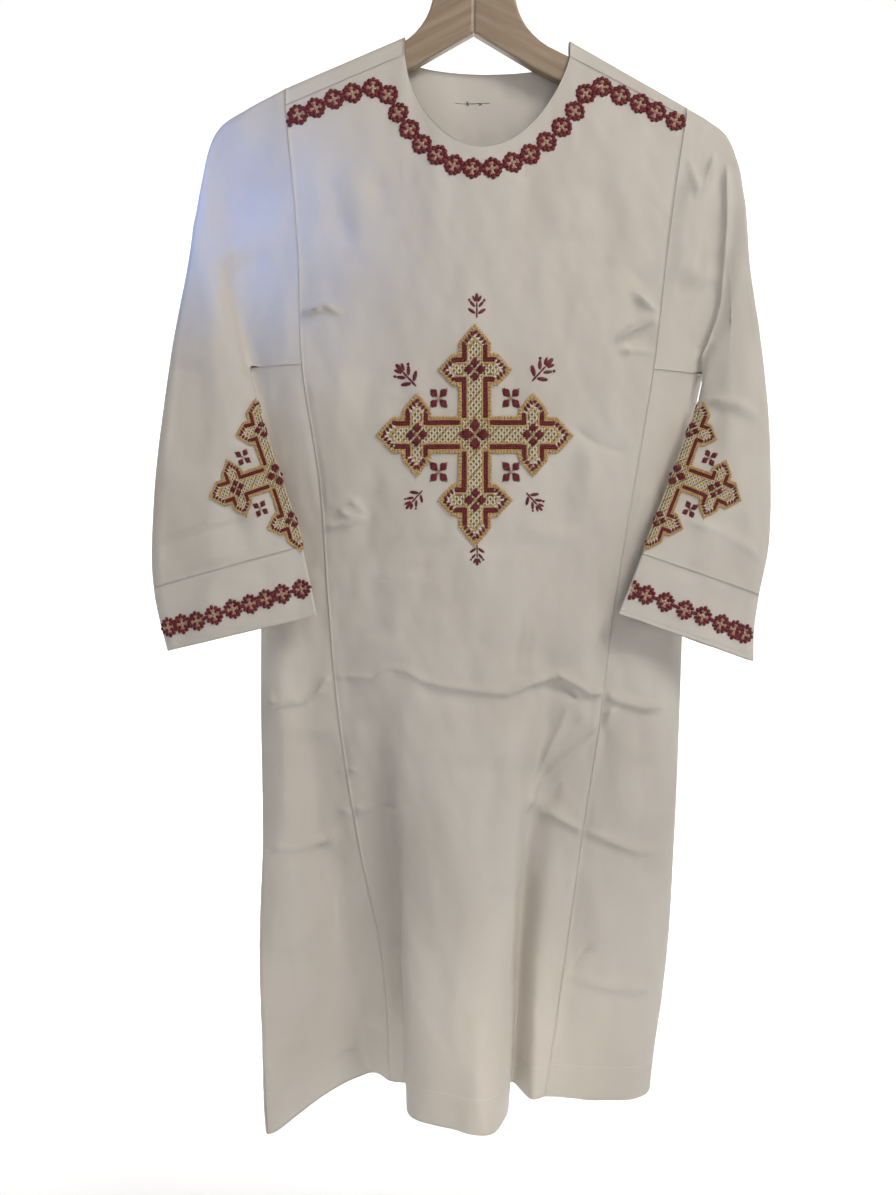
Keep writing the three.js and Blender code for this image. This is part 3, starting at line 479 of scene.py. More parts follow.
BACK_FOLDS = (
    (((-200, -762), (-150, -757), (-98, -766), (-40, -758)), 1.7, 4),
    (((-40, -758), (10, -752), (62, -764), (110, -757)), -1.5, 4),
    (((110, -757), (150, -768), (196, -764)), 1.4, 4),
    (((-96, -772), (-70, -806), (-52, -850)), 2.0, 8),
    (((78, -770), (92, -812), (84, -862)), -1.8, 7),
    (((-150, -880), (-104, -889), (-60, -880)), -1.4, 5),
    (((44, -905), (90, -896), (150, -908)), 1.5, 5),
    (((-20, -360), (-6, -430), (-14, -520)), 1.4, 12),
    (((60, -300), (70, -380), (62, -450)), -1.4, 10),
    (((-90, -290), (-84, -380), (-92, -470)), 1.5, 10),
    (((-130, -398), (-96, -404), (-60, -396)), 1.3, 4),
    (((50, -410), (100, -402), (140, -408)), -1.3, 4),
    (((16, -560), (22, -640), (12, -740)), -1.4, 12),
    (((-70, -560), (-62, -650), (-68, -748)), 1.4, 10),
    (((120, -560), (112, -650), (124, -740)), 1.5, 10),
    (((-130, -930), (-120, -1000), (-132, -1090)), 1.7, 11),
    (((40, -980), (30, -1060), (36, -1140)), -1.8, 10),
    (((120, -950), (134, -1040), (128, -1110)), 1.6, 10),
    (((-30, -1010), (-18, -1070), (-24, -1130)), 1.5, 8),
)
SLEEVE_FOLDS_LEFT = (
    # the crease above the cuff, from which the cloth stands out down to the cuff's seam
    (((-311, -622), (-262, -605), (-212, -591), (-192, -587)), 1.6, 4),
    (((-311, -626), (-262, -609), (-212, -595)), -1.8, 9),
    (((-300, -654), (-258, -643), (-206, -628)), 1.5, 12),
    (((-232, -300), (-246, -380), (-262, -460)), 1.6, 12),
    (((-214, -330), (-222, -410), (-232, -470)), -1.5, 10),
    (((-276, -440), (-270, -500), (-280, -560)), -1.3, 12),
    (((-206, -240), (-222, -290), (-236, -340)), -1.4, 9),
    (((-262, -292), (-252, -330), (-226, -352)), 1.3, 7),
    (((-258, -660), (-256, -690), (-250, -714)), 1.0, 7),
    (((-214, -632), (-210, -668), (-202, -700)), -1.0, 8),
)
SLEEVE_FOLDS_RIGHT = (
    (((198, -599), (236, -611), (262, -626), (277, -641)), 1.3, 5),
    (((196, -588), (232, -600), (268, -604)), -1.0, 6),
    (((245, -246), (246, -310), (240, -382), (229, -434), (217, -480)), 2.2, 3.4),
    (((238, -290), (230, -385), (211, -455)), -2.0, 8),
    (((206, -236), (211, -258), (217, -286)), 2.2, 4),
    (((236, -238), (227, -258), (219, -284)), 2.2, 4),
    (((226, -232), (221, -300), (206, -372)), 1.9, 11),
    (((214, -480), (246, -488), (280, -503)), 1.9, 3.4),
    (((222, -490), (246, -499), (272, -511)), -1.2, 8),
    (((210, -225), (232, -246), (253, -261)), -2.2, 11),
    (((218, -440), (232, -388), (238, -330)), -1.8, 9),
    (((252, -420), (262, -480), (258, -540)), 1.4, 9),
    (((206, -262), (214, -320), (212, -380)), 1.4, 9),
    (((232, -566), (244, -596)), -1.0, 7),
    (((190, -640), (186, -664), (176, -694)), 1.0, 7),
    (((236, -662), (232, -690), (226, -716)), -1.0, 7),
)

PRESSED_WIDTH = 5  # a fold this wide or narrower has a pressed edge
PRESSED_RISE = 1.5
FOLD_END = 20  # the length over which a fold dies away
FOLD_END_SHARE = 0.28  # the most of a short fold that this takes
FOLD_DEPTH = 2.6
TURN = 6.28  # a whole turn, near enough for a random start


def fold_heights(folds, across, height, seed):
    """How far the folds lift or sink the cloth at each place. Each one rises and dies unevenly."""
    rng = random.Random(seed)
    total = np.zeros_like(across)
    for path, lift, width in folds:
        corners = np.array(path, float)
        lengths = np.linalg.norm(np.diff(corners, axis=0), axis=1)
        whole = lengths.sum()
        best = np.full(across.shape, 1e9)
        travelled = np.zeros_like(across)
        so_far = 0.0
        for (x0, z0), (x1, z1), length in zip(corners[:-1], corners[1:], lengths):
            t = ((across - x0) * (x1 - x0) + (height - z0) * (z1 - z0)) / length**2
            t = np.clip(t, 0, 1)
            gap = np.hypot(across - (x0 + t * (x1 - x0)), height - (z0 + t * (z1 - z0)))
            travelled = np.where(gap < best, so_far + t * length, travelled)
            best = np.minimum(gap, best)
            so_far += length
        fade = min(FOLD_END, whole * FOLD_END_SHARE)
        phase = rng.uniform(0, TURN)
        uneven = 0.8 + 0.3 * np.sin(travelled / whole * rng.uniform(4, 9) + phase)
        ends = ease(travelled / fade) * ease((whole - travelled) / fade)
        ridge = np.exp(-best / width) * (PRESSED_RISE if width <= PRESSED_WIDTH else 1 + best / width)
        total += lift * ridge * uneven * ends
    return FOLD_DEPTH * total


HANGER_LOWEST = -262
SINKS_ON_HANGER = -0.7  # how far the cloth may sink over the hanger's arms, and below them
SINKS_BELOW = -8.0


def clear_of_hanger(lift, height):
    return np.maximum(lift, lerp(SINKS_BELOW, SINKS_ON_HANGER, ease((height - HANGER_LOWEST) / 25 + 1)))


# The waves of cloth that hangs: how wide, how tall, how far each lifts it.
SLACK_WAVES = ((62, 300, 0.55), (37, 190, 0.4), (24, 95, 0.22), (55, 48, 0.18), (15, 60, 0.09))
SLACK_DEPTH = 1.5


def slack(across, height, seed):
    """The slight unevenness of cloth that hangs: long soft waves, more along than across."""
    rng = random.Random(seed)
    total = np.zeros_like(across)
    for width, tall, lift in SLACK_WAVES:
        lean = rng.uniform(-0.25, 0.25)
        u = across * math.cos(lean) + height * math.sin(lean)
        v = -across * math.sin(lean) + height * math.cos(lean)
        drift = 2.2 * np.sin(v / tall * 2.1 + rng.uniform(0, TURN))
        wave = np.sin(u / width * TURN + drift + rng.uniform(0, TURN))
        total += lift * wave * np.cos(v / tall * TURN + rng.uniform(0, TURN))
    return SLACK_DEPTH * total


# ---- meshes

CLOTH = 0.9  # thickness of the cloth's shell
SEAM_GAP = 0.08  # where two pieces meet at a seam


def linked(made):
    bpy.context.collection.objects.link(made)
    return made


def fixed(piece, node=None):
    """A finished piece rides on the one body and may stand for a node, whose part it hides."""
    if node:
        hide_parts(node)
    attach(piece, "root")
    return piece


def mesh_object(name, points, faces, materials, spread=None, shades=None):
    """A mesh from millimetre points, with a flat spread of the cloth as its UV map in metres."""
    mesh = bpy.data.meshes.new(name)
    mesh.from_pydata((np.asarray(points) * MM).tolist(), [], faces)
    mesh.validate()
    for material in materials:
        mesh.materials.append(material)
    if shades is not None:
        mesh.polygons.foreach_set("material_index", shades)
    mesh.polygons.foreach_set("use_smooth", [True] * len(mesh.polygons))
    if spread is not None:
        corners = np.empty(len(mesh.loops), dtype=int)
        mesh.loops.foreach_get("vertex_index", corners)
        flat = (np.asarray(spread)[corners] * MM).ravel()
        mesh.uv_layers.new(name="spread").data.foreach_set("uv", flat)
    return linked(bpy.data.objects.new(name, mesh))


def tube_faces(rings, sides, start=0):
    """The faces between closed rings of points, one ring after another."""
    faces = []
    for ring in range(rings - 1):
        for k in range(sides):
            a, b = (start + ring * sides + at % sides for at in (k, k + 1))
            faces.append((a, a + sides, b + sides, b))
    return faces


def grid_faces(rows, columns, start=0, inward=False):
    i, j = np.meshgrid(np.arange(rows - 1), np.arange(columns - 1), indexing="ij")
    a = (start + i * columns + j).ravel()
    quads = np.stack([a, a + columns, a + columns + 1, a + 1], -1)
    return (quads[:, ::-1] if inward else quads).tolist()


def rim_faces(rows, columns):
    """The narrow faces round a sheet's edge, between its outer and its inner face."""
    grid = np.arange(rows * columns).reshape(rows, columns)
    edge = np.concatenate([grid[0, ::-1], grid[1:, 0], grid[-1, 1:], grid[-2:0:-1, -1]])
    ahead = np.roll(edge, -1)
    under = rows * columns
    return np.stack([edge, edge + under, ahead + under, ahead], -1)[:, ::-1].tolist()


def spread_of(grid):
    """How far right and how far down each place of a grid lies when the cloth is laid flat."""
    right = np.linalg.norm(np.diff(grid, axis=1), axis=-1)
    down = np.linalg.norm(np.diff(grid, axis=0), axis=-1)
    right = np.hstack([np.zeros((grid.shape[0], 1)), np.cumsum(right, axis=1)])
    down = np.vstack([np.zeros((1, grid.shape[1])), np.cumsum(down, axis=0)])
    return right, down


def shell(name, grid, normals, relief):
    """A sheet of cloth: rows from top to bottom, each from left to right as seen from outside."""
    rows, columns = grid.shape[:2]
    right, down = spread_of(grid)
    edges = {"left": right, "right": right[:, -1:] - right, "top": down, "bottom": down[-1:] - down}
    outer = grid + normals * relief(grid, edges)[..., None]
    inner = outer - normals * CLOTH
    points = np.concatenate([outer.reshape(-1, 3), inner.reshape(-1, 3)])
    faces = grid_faces(rows, columns) + grid_faces(rows, columns, rows * columns, inward=True)
    faces += rim_faces(rows, columns)
    flat = np.stack([right, -down], -1).reshape(-1, 2)
    return mesh_object(name, points, faces, [WHITE], np.concatenate([flat, flat]))


def between(values, count):
    """The values with count - 1 more put evenly between each pair."""
    places = np.linspace(0, len(values) - 1, (len(values) - 1) * count + 1)
    return np.interp(places, np.arange(len(values)), values)


# ---- cloth pieces

HEM_TURNING = 33
HEM_LAYER, HEM_SINKS, HEM_GROOVE = 0.35, 0.55, 1.3
EDGE_ROLL, EDGE_SINKS = 1.6, 0.2
SEAM_LINE, SEAM_SINKS, SEAM_GROOVE = 3, 0.08, 2.2
TOP_ROLL = 0.4  # a share of the usual roll
GORE_TOP_ROLL = -2.4  # the gores' upper edge stands out instead
STEP = 0.01  # a small step between lines or levels, for a slope
INWARD = 0.05  # a step into a piece from its edge


def groove(distance, place, width):
    """1 on a line that follows an edge at a distance, and less beside it."""
    return np.exp(-((distance - place) / width) ** 2)


def rolled(distance):
    """An edge that turns under: the cloth sinks over its last bit."""
    turned_under = -EDGE_SINKS * (1 - ease(distance / EDGE_ROLL))
    return turned_under - SEAM_SINKS * groove(distance, SEAM_LINE, SEAM_GROOVE)


def hem(distance):
    """Two layers up to the stitching, which pulls the cloth in."""
    layers = HEM_LAYER * (1 - ease((distance - HEM_TURNING + 1) / 2))
    return layers - HEM_SINKS * groove(distance, HEM_TURNING, HEM_GROOVE)


def body_panel(name, left_line, right_line, top_level, steps, folds, seed):
    """A piece of the body between two lines, with so many steps to a line and to a level."""
    left = LINE[left_line]
    right = LINE[right_line] + (RING if LINE[right_line] < left else 0)
    front = left < LINE["backGoreR"]
    lines = np.linspace(left, right, (right - left) * steps[0] + 1)
    levels = np.linspace(top_level, HEM, int((HEM - top_level) * steps[1]) + 1)
    line, level = np.meshgrid(lines, levels)

    def point(a, b):
        return body(a, b, front)

    grid = point(line, level)
    safe_line = np.where(level < UNDERARM, np.clip(line, left + 2 * STEP, right - 2 * STEP), line)
    safe_level = np.clip(level, top_level + STEP, HEM - STEP)
    normals = normals_of(point, safe_line, safe_level, STEP, STEP)
    for column, inward in ((0, INWARD), (-1, -INWARD)):
        neighbour = point(line[:, column] + inward, level[:, column])
        grid[:, column] += unit(neighbour - grid[:, column]) * SEAM_GAP / 2

    def relief(places, edges):
        across, height = places[..., 0], places[..., 2]
        settle = ease(np.minimum(edges["left"], edges["right"]) / 8) * ease(edges["top"] / 20)
        lift = fold_heights(folds, across, height, seed) + slack(across, height, seed)
        lift = clear_of_hanger(lift, height) * settle
        lift = lift + rolled(edges["left"]) + rolled(edges["right"]) + hem(edges["bottom"])
        top = TOP_ROLL if top_level < UNDERARM else GORE_TOP_ROLL
        return lift + top * rolled(edges["top"]) + 0.5 * rolled(edges["bottom"])

    return shell(name, grid, normals, relief)


STRIP_ROWS = (0.99, 0.75, 0.5, 0.33, 0.17, 0, -0.17, -0.33, -0.5, -0.75, -0.99)


def shoulder_strip(name, x_from, x_to):
    x, part = np.meshgrid(np.linspace(x_from, x_to, 30), between(STRIP_ROWS, 3))
    ahead = shoulder_point(x, part + STEP) - shoulder_point(x, part - STEP)
    along = shoulder_point(x + 1, part) - shoulder_point(x - 1, part)

    def relief(places, edges):
        return 0.5 * (rolled(edges["top"]) + rolled(edges["bottom"]))

    return shell(name, shoulder_point(x, part), unit(np.cross(along, ahead)), relief)


# Where a sleeve's columns lie round it: 0 is the fold along the underside, 0.5 the top fold. At the
# armhole the edges are at the underside; below the underarm the long seam swings to the back.
RING_AT_ARMHOLE = (
    0, 0.02, 0.04, 0.06, 0.08, 0.1, 0.12, 0.14, 0.17, 0.21, 0.26, 0.32, 0.38,
    0.44, 0.465, 0.49, 0.51, 0.535, 0.56, 0.67, 0.78, 0.89, 1,
)
RING_BELOW = (
    -0.25, -0.17, -0.09, -0.04, -0.015, -0.0075, 0, 0.0075, 0.015, 0.06, 0.14, 0.22, 0.33,
    0.44, 0.465, 0.49, 0.51, 0.535, 0.56, 0.61, 0.66, 0.71, 0.75,
)
COLUMNS_A_SPAN = 6
SEAM_SWINGS_OVER = 1.2  # sections
NEARLY_ROUND = 0.999999
RING_EDGE = 0.004
RING_STEP = 0.003  # for slopes


def sleeve_shell(name, side, place_from, place_to, rows, folds, seed):
    places = np.linspace(place_from, place_to, rows)
    is_cuff = place_to == WRIST_SECTION
    swung = ease((places - UNDERARM_SECTION) / SEAM_SWINGS_OVER)[:, None]
    ring = lerp(between(RING_AT_ARMHOLE, COLUMNS_A_SPAN), between(RING_BELOW, COLUMNS_A_SPAN), swung)
    place = np.repeat(places[:, None], ring.shape[1], axis=1)
    is_open = place <= UNDERARM_SECTION
    own_ring = np.where(is_open, np.clip(ring, 0, NEARLY_ROUND), ring)

    def point(a, b):
        return sleeve(side, a, b)

    grid = point(own_ring, place)
    nudge = np.zeros_like(ring)
    nudge[:, 0], nudge[:, -1] = RING_EDGE, -RING_EDGE
    safe = np.where(is_open, np.clip(ring, RING_EDGE, 1 - RING_EDGE), ring + nudge)
    normals = side * normals_of(point, safe, np.maximum(place, 2 * STEP), RING_STEP, RING_STEP)
    for column in (0, -1):
        closed = ~is_open[:, column]
        near = point(ring[:, column] + nudge[:, column], place[:, column])
        step = unit(near - grid[:, column]) * SEAM_GAP / 2
        grid[:, column] += np.where(closed[:, None], step, np.array([0, 0, 2 * SEAM_GAP]))
    grid[0] += unit(point(own_ring[0], place[0] + INWARD) - grid[0]) * SEAM_GAP

    def relief(spots, edges):
        across, height = spots[..., 0], spots[..., 2]
        turn = np.mod(ring, 1.0)
        flat = np.minimum(np.abs(turn - 0.5) / 0.06, np.minimum(turn, 1 - turn) / 0.05)
        front = (turn < 0.5) * ease(flat)
        lift = fold_heights(folds, across, height, seed) * front
        lift = lift + slack(across, height, seed) * ease(flat)
        lift = clear_of_hanger(lift, height)
        lift = lift * ease(np.minimum(edges["left"], edges["right"]) / 14) * ease(edges["top"] / 14)
        ends = 0.5 * rolled(edges["bottom"])
        if is_cuff:
            ends = ends + 0.7 * rolled(edges["top"])
        else:
            lift = lift * ease(edges["bottom"] / 14)
        lift = lift + rolled(edges["left"]) + rolled(edges["right"]) + ends
        # the two faces of the narrow underside must not pass through each other
        return np.clip(lift, -0.3 - 5 * np.clip(flat, 0, 1), None)

    if side < 0:
        ring = ring[:, ::-1]
        grid, normals = grid[:, ::-1], normals[:, ::-1]
    return shell(name, grid, normals, relief)


# ---- materials


def added(tree, kind, output, inputs=(), **settings):
    """A new node: its settings first, then values or links for its sockets. Gives one output."""
    node = tree.nodes.new(kind)
    for key, value in settings.items():
        setattr(node, key, value)
    for key, value in dict(inputs).items():
        if isinstance(value, Field):
            tree.links.new(value.socket, node.inputs[key])
        else:
            node.inputs[key].default_value = value
    return Field(tree, node.outputs[output])


def sign(operation, swapped=False):
    """What Python does for a sign between a field and another field or a number."""
    def method(self, other):
        return self.math(operation, *((other, self) if swapped else (self, other)))

    return method


class Field:
    """A number or a colour that changes over a surface. Sums with it add nodes to its tree."""

    def __init__(self, tree, socket):
        self.tree = tree
        self.socket = socket

    def math(self, operation, *values):
        return added(self.tree, "ShaderNodeMath", 0, enumerate(values), operation=operation)

    __add__, __radd__ = sign("ADD"), sign("ADD", True)
    __sub__, __rsub__ = sign("SUBTRACT"), sign("SUBTRACT", True)
    __mul__, __rmul__ = sign("MULTIPLY"), sign("MULTIPLY", True)

    def sine(self):
        return self.math("SINE", self)

    def smooth(self, low, high):
        inputs = {"Value": self, "From Min": low, "From Max": high}
        return added(self.tree, "ShaderNodeMapRange", "Result", inputs, interpolation_type="SMOOTHSTEP")

    def colours(self, dark, light):
        """The colour between two, by this number."""
        inputs = {"Factor": self, "A": (*dark, 1), "B": (*light, 1)}
        return added(self.tree, "ShaderNodeMix", "Result", inputs, data_type="RGBA")


class Surface:
    """A Principled material whose steady values are set directly and whose fields are linked."""

    def __init__(self, name, **steady):
        self.material = bpy.data.materials.new(name)
        self.material.use_nodes = True
        self.tree = self.material.node_tree
        self.shader = self.tree.nodes["Principled BSDF"]
        for socket, value in steady.items():
            self.shader.inputs[socket.replace("_", " ")].default_value = value

    def node(self, kind, output, inputs=(), **settings):
        return added(self.tree, kind, output, inputs, **settings)

    def spread(self):
        """Where a place lies on the cloth laid flat, in metres."""
        return self.node("ShaderNodeUVMap", "UV", uv_map="spread")

    def place(self):
        return self.node("ShaderNodeTexCoord", "Object")

    def parted(self, vector):
        """The three numbers of a place."""
        return [self.node("ShaderNodeSeparateXYZ", axis, {"Vector": vector}) for axis in "XYZ"]

    def noise(self, vector, scale, detail=2.0, roughness=0.5):
        inputs = {"Vector": vector, "Scale": scale, "Detail": detail, "Roughness": roughness}
        return self.node("ShaderNodeTexNoise", 0, inputs)

    def bump(self, height, strength):
        inputs = {"Height": height, "Distance": 1.0, "Strength": strength}
        self.link("Normal", self.node("ShaderNodeBump", "Normal", inputs))

    def link(self, socket, field):
        self.tree.links.new(field.socket, self.shader.inputs[socket])


def white_cloth():
    """Smooth white suiting, with a fine slanting weave and a slight sheen."""
    cloth = Surface("white_cloth", IOR=1.4, Sheen_Weight=0.25, Sheen_Roughness=0.45)
    flat = cloth.spread()
    across, down, _ = cloth.parted(flat)
    twill = ((across + down) * 9000.0).sine() * 0.5 + ((across - down * 0.6) * 12500.0).sine() * 0.25
    uneven = cloth.noise(flat, 60.0, 3.0)
    broad = cloth.noise(flat, 7.0)
    cloth.link("Base Color", broad.smooth(0.3, 0.7).colours((0.685, 0.655, 0.62), (0.745, 0.72, 0.69)))
    cloth.link("Roughness", uneven * 0.16 + 0.54)
    cloth.bump(twill * 0.00003 + uneven * 0.00025 + broad * 0.0006, 0.8)
    return cloth.material


def thread(name, dark, light, roughness, sheen=0.4):
    """Embroidery thread: glossy strands that catch the light unevenly."""
    made = Surface(name, Roughness=roughness, Sheen_Weight=sheen, Sheen_Roughness=0.35, IOR=1.5)
    uneven = made.noise(made.place(), 900.0)
    made.link("Base Color", uneven.smooth(0.3, 0.7).colours(dark, light))
    made.bump(uneven * 0.0003, 0.7)
    return made.material


def wood(name, lean):
    """Pale varnished wood whose grain runs along an arm that slopes by an angle."""
    made = Surface(name, Coat_Weight=0.2, Coat_Roughness=0.3)
    x, depth, z = made.parted(made.place())
    along = x * math.cos(lean) - z * math.sin(lean)
    across = x * math.sin(lean) + z * math.cos(lean)
    scaled = {"X": along * 7.0, "Y": across * 150.0, "Z": depth * 150.0}
    streaks = made.noise(made.node("ShaderNodeCombineXYZ", 0, scaled), 1.0, 4.0, 0.6)
    drift = made.noise(made.place(), 14.0)
    rings = ((across + drift * 0.012) * 420.0).sine() * 0.5 + 0.5
    tone = (streaks * 0.88 + rings * 0.12).smooth(0.25, 0.8)
    made.link("Base Color", tone.colours((0.32, 0.235, 0.165), (0.46, 0.37, 0.28)))
    made.link("Roughness", streaks * 0.2 + 0.34)
    made.bump(streaks * 0.0004, 0.5)
    return made.material


def plated_steel():
    made = Surface("plated_steel", Metallic=1.0, Base_Color=(0.70, 0.70, 0.72, 1))
    made.link("Roughness", made.noise(made.place(), 400.0) * 0.16 + 0.16)
    return made.material


WHITE = white_cloth()
THREADS = {
    "burgundy": thread("burgundy_thread", (0.11, 0.008, 0.015), (0.21, 0.016, 0.030), 0.42, 0.1),
    "gold": thread("gold_thread", (0.52, 0.34, 0.12), (0.78, 0.57, 0.27), 0.38),
    "cream": thread("cream_thread", (0.74, 0.65, 0.47), (0.90, 0.83, 0.66), 0.45),
    "olive": thread("olive_thread", (0.16, 0.14, 0.08), (0.27, 0.24, 0.14), 0.5),
    "peach": thread("peach_thread", (0.46, 0.22, 0.15), (0.66, 0.37, 0.26), 0.45),
    "white": thread("white_thread", (0.74, 0.73, 0.73), (0.82, 0.81, 0.81), 0.5),
    "ground": thread("ground_stitching", (0.46, 0.34, 0.16), (0.62, 0.49, 0.27), 0.5),
    "dark": thread("dark_thread", (0.05, 0.05, 0.06), (0.10, 0.10, 0.11), 0.6),
}
ARM_SLOPE = math.radians(26)
WOOD = {"left": wood("wood_left", -ARM_SLOPE), "right": wood("wood_right", ARM_SLOPE)}
STEEL = plated_steel()


# ---- the garment

STRIP_GAP = 0.3


def cut_piece(piece, node):
    fixed(piece, node)
    return piece


front_panel = body_panel("tunic_front", "seamL", "seamR", 0, (13, 52), FRONT_FOLDS, 11)
cut_piece(front_panel, "front_panel")
back_panel = body_panel("tunic_back", "backSeamR", "backSeamL", 0, (14, 30), BACK_FOLDS, 12)
cut_piece(back_panel, "back_panel")
gore_top = UNDERARM + SEAM_GAP / (UNDERARM_Z - LEVEL_Z[UNDERARM + 1])
for label, from_line, to_line, folds, seed, area in (
    ("front_left", "sideL", "seamL", FRONT_FOLDS, 13, 0.0748),
    ("front_right", "seamR", "sideR", FRONT_FOLDS, 14, 0.067),
    ("back_right", "sideR", "backSeamR", BACK_FOLDS, 15, 0.050),
    ("back_left", "backSeamL", "sideL", BACK_FOLDS, 16, 0.0647),
):
    gore = body_panel("tunic_gore_" + label, from_line, to_line, gore_top, (12, 42), folds, seed)
    cut_piece(gore, "gore_" + label)
for label, x_from, x_to in (
    ("left", ARMHOLE_LEFT + STRIP_GAP, NECK_LEFT),
    ("right", NECK_RIGHT, ARMHOLE_RIGHT - STRIP_GAP),
):
    cut_piece(shoulder_strip("tunic_strip_" + label, x_from, x_to), "shoulder_strip_" + label)

SIDES = {"left": -1, "right": 1}
SLEEVE_END = CUFF_SECTION - 0.004
for label, folds, sleeve_area, cuff_area in (
    ("left", SLEEVE_FOLDS_LEFT, 0.1108, 0.0218),
    ("right", SLEEVE_FOLDS_RIGHT, 0.091, 0.0182),
):
    side = SIDES[label]
    arm = sleeve_shell("tunic_sleeve_" + label, side, 0, SLEEVE_END, 150, folds, 20 + side)
    cut_piece(arm, "sleeve_" + label)
    cuff = sleeve_shell("tunic_cuff_" + label, side, CUFF_SECTION, WRIST_SECTION, 22, folds, 30 + side)
    cut_piece(cuff, "cuff_" + label)


# ---- stitches


def stitch_tree():
    """One rounded stitch on every point: its length, width and rise, and which way it lies."""
    tree = bpy.data.node_groups.new("stitches_on_points", "GeometryNodeTree")
    for name, kind, value in (
        ("Points", "Geometry", None),
        ("Sides", "Int", 6),
        ("Rings", "Int", 4),
        ("Unevenness", "Float", 0.08),
        ("Seed", "Int", 1),
        ("Thread", "Material", None),
    ):
        socket = tree.interface.new_socket(name, in_out="INPUT", socket_type="NodeSocket" + kind)
        if value is not None:
            socket.default_value = value
    tree.interface.new_socket("Stitches", in_out="OUTPUT", socket_type="NodeSocketGeometry")
    given = {socket.name: Field(tree, socket) for socket in tree.nodes.new("NodeGroupInput").outputs}

    def node(kind, output, inputs, **settings):
        return added(tree, kind, output, inputs, **settings)

    def named(attribute):
        inputs = {"Name": attribute}
        return node("GeometryNodeInputNamedAttribute", "Attribute", inputs, data_type="FLOAT_VECTOR")

    scatter = {"Min": 1.0 - given["Unevenness"], "Max": 1.0 + given["Unevenness"], "Seed": given["Seed"]}
    uneven = node("FunctionNodeRandomValue", "Value", scatter, data_type="FLOAT")
    axes = {"Primary Axis": named("rise"), "Secondary Axis": named("along")}
    facing = {"primary_axis": "Z", "secondary_axis": "X"}
    size = {0: named("size"), "Scale": uneven}
    ball = {"Radius": 0.5, "Segments": given["Sides"], "Rings": given["Rings"]}
    made = node("GeometryNodeInstanceOnPoints", "Instances", {
        "Points": node("GeometryNodeMeshToPoints", "Points", {"Mesh": given["Points"]}),
        "Instance": node("GeometryNodeMeshUVSphere", "Mesh", ball),
        "Rotation": node("FunctionNodeAxesToRotation", "Rotation", axes, **facing),
        "Scale": node("ShaderNodeVectorMath", "Vector", size, operation="SCALE"),
    })
    made = node("GeometryNodeRealizeInstances", "Geometry", {"Geometry": made})
    made = node("GeometryNodeSetShadeSmooth", "Geometry", {"Geometry": made})
    made = node("GeometryNodeSetMaterial", "Geometry", {"Geometry": made, "Material": given["Thread"]})
    tree.links.new(made.socket, tree.nodes.new("NodeGroupOutput").inputs["Stitches"])
    return tree


STITCHES = stitch_tree()


def stitched(name, stitches, colour, seed, sides=6, rings=3):
    """A plain mesh of stitches, each (place, outward, direction, length, width, rise) in mm.
    None stands for a stitch that found no cloth."""
    stitches = [stitch for stitch in stitches if stitch]
    # a ball of few rings is narrower than its radius says
    swell = 1 / max(math.sin(math.pi * ring / rings) for ring in range(1, rings))
    base = bpy.data.meshes.new(name + "_points")
    base.from_pydata((np.array([s[0] for s in stitches]) * MM).tolist(), [], [])
    for attribute, values in (
        ("rise", [s[1] for s in stitches]),
        ("along", [s[2] for s in stitches]),
        ("size", np.array([s[3:6] for s in stitches]) * np.array([swell, swell, 1]) * MM),
    ):
        data = base.attributes.new(attribute, "FLOAT_VECTOR", "POINT").data
        data.foreach_set("vector", np.asarray(values, dtype=float).ravel())
    holder = linked(bpy.data.objects.new(name + "_points", base))
    maker = holder.modifiers.new("stitches", "NODES")
    maker.node_group = STITCHES
    values = {"Sides": sides, "Rings": rings, "Unevenness": 0.08, "Seed": seed, "Thread": THREADS[colour]}
    for item in STITCHES.interface.items_tree:
        if item.in_out == "INPUT" and item.name in values:
            maker[item.identifier] = values[item.name]
    made = bpy.data.meshes.new_from_object(holder.evaluated_get(bpy.context.evaluated_depsgraph_get()))
    made.name = name
    holder.modifiers.remove(maker)
    bpy.data.objects.remove(holder)
    return fixed(linked(bpy.data.objects.new(name, made)))


# ---- where stitches lie


class Ground:
    """A piece of cloth that is sewn on: gives the place and the outward direction above a spot."""

    def __init__(self, *pieces):
        vertices, faces = [], []
        for piece in pieces:
            start = len(vertices)
            vertices += [vertex.co / MM for vertex in piece.data.vertices]
            faces += [[start + i for i in face.vertices] for face in piece.data.polygons]
        self.tree = BVHTree.FromPolygons(vertices, faces)

    def front(self, x, z, far=-150.0):
        place, outward, _, _ = self.tree.ray_cast(Vector((x, far, z)), Vector((0, -np.sign(far), 0)))
        if place is None:
            return None
        return np.array(place), np.array(outward)

    def back(self, x, z):
        return self.front(x, z, 200.0)

    def nearest(self, point):
        place, outward, _, _ = self.tree.find_nearest(Vector(point))
        return np.array(place), np.array(outward)


AHEAD = 0.6  # how far ahead of a stitch its direction is read, in the pattern's own size
LOST = 3  # a step this long has come to another layer of cloth
STANDS = 0.22  # the share of its rise at which a stitch's middle stands


def lay(spot, u, v, angle, length, width, rise, lift=0.0):
    """A stitch at u, v of a pattern, turned by an angle in it. None where there is no cloth."""
    here = spot(u, v)
    ahead = spot(u + AHEAD * math.cos(angle), v + AHEAD * math.sin(angle))
    if here is None or ahead is None:
        return None
    place, outward = here
    way = ahead[0] - place
    way = way - outward * way.dot(outward)
    if not 1e-4 <= np.linalg.norm(way) <= LOST:
        return None
    return (place + outward * (lift + rise * STANDS), outward, unit(way), length, width, rise)


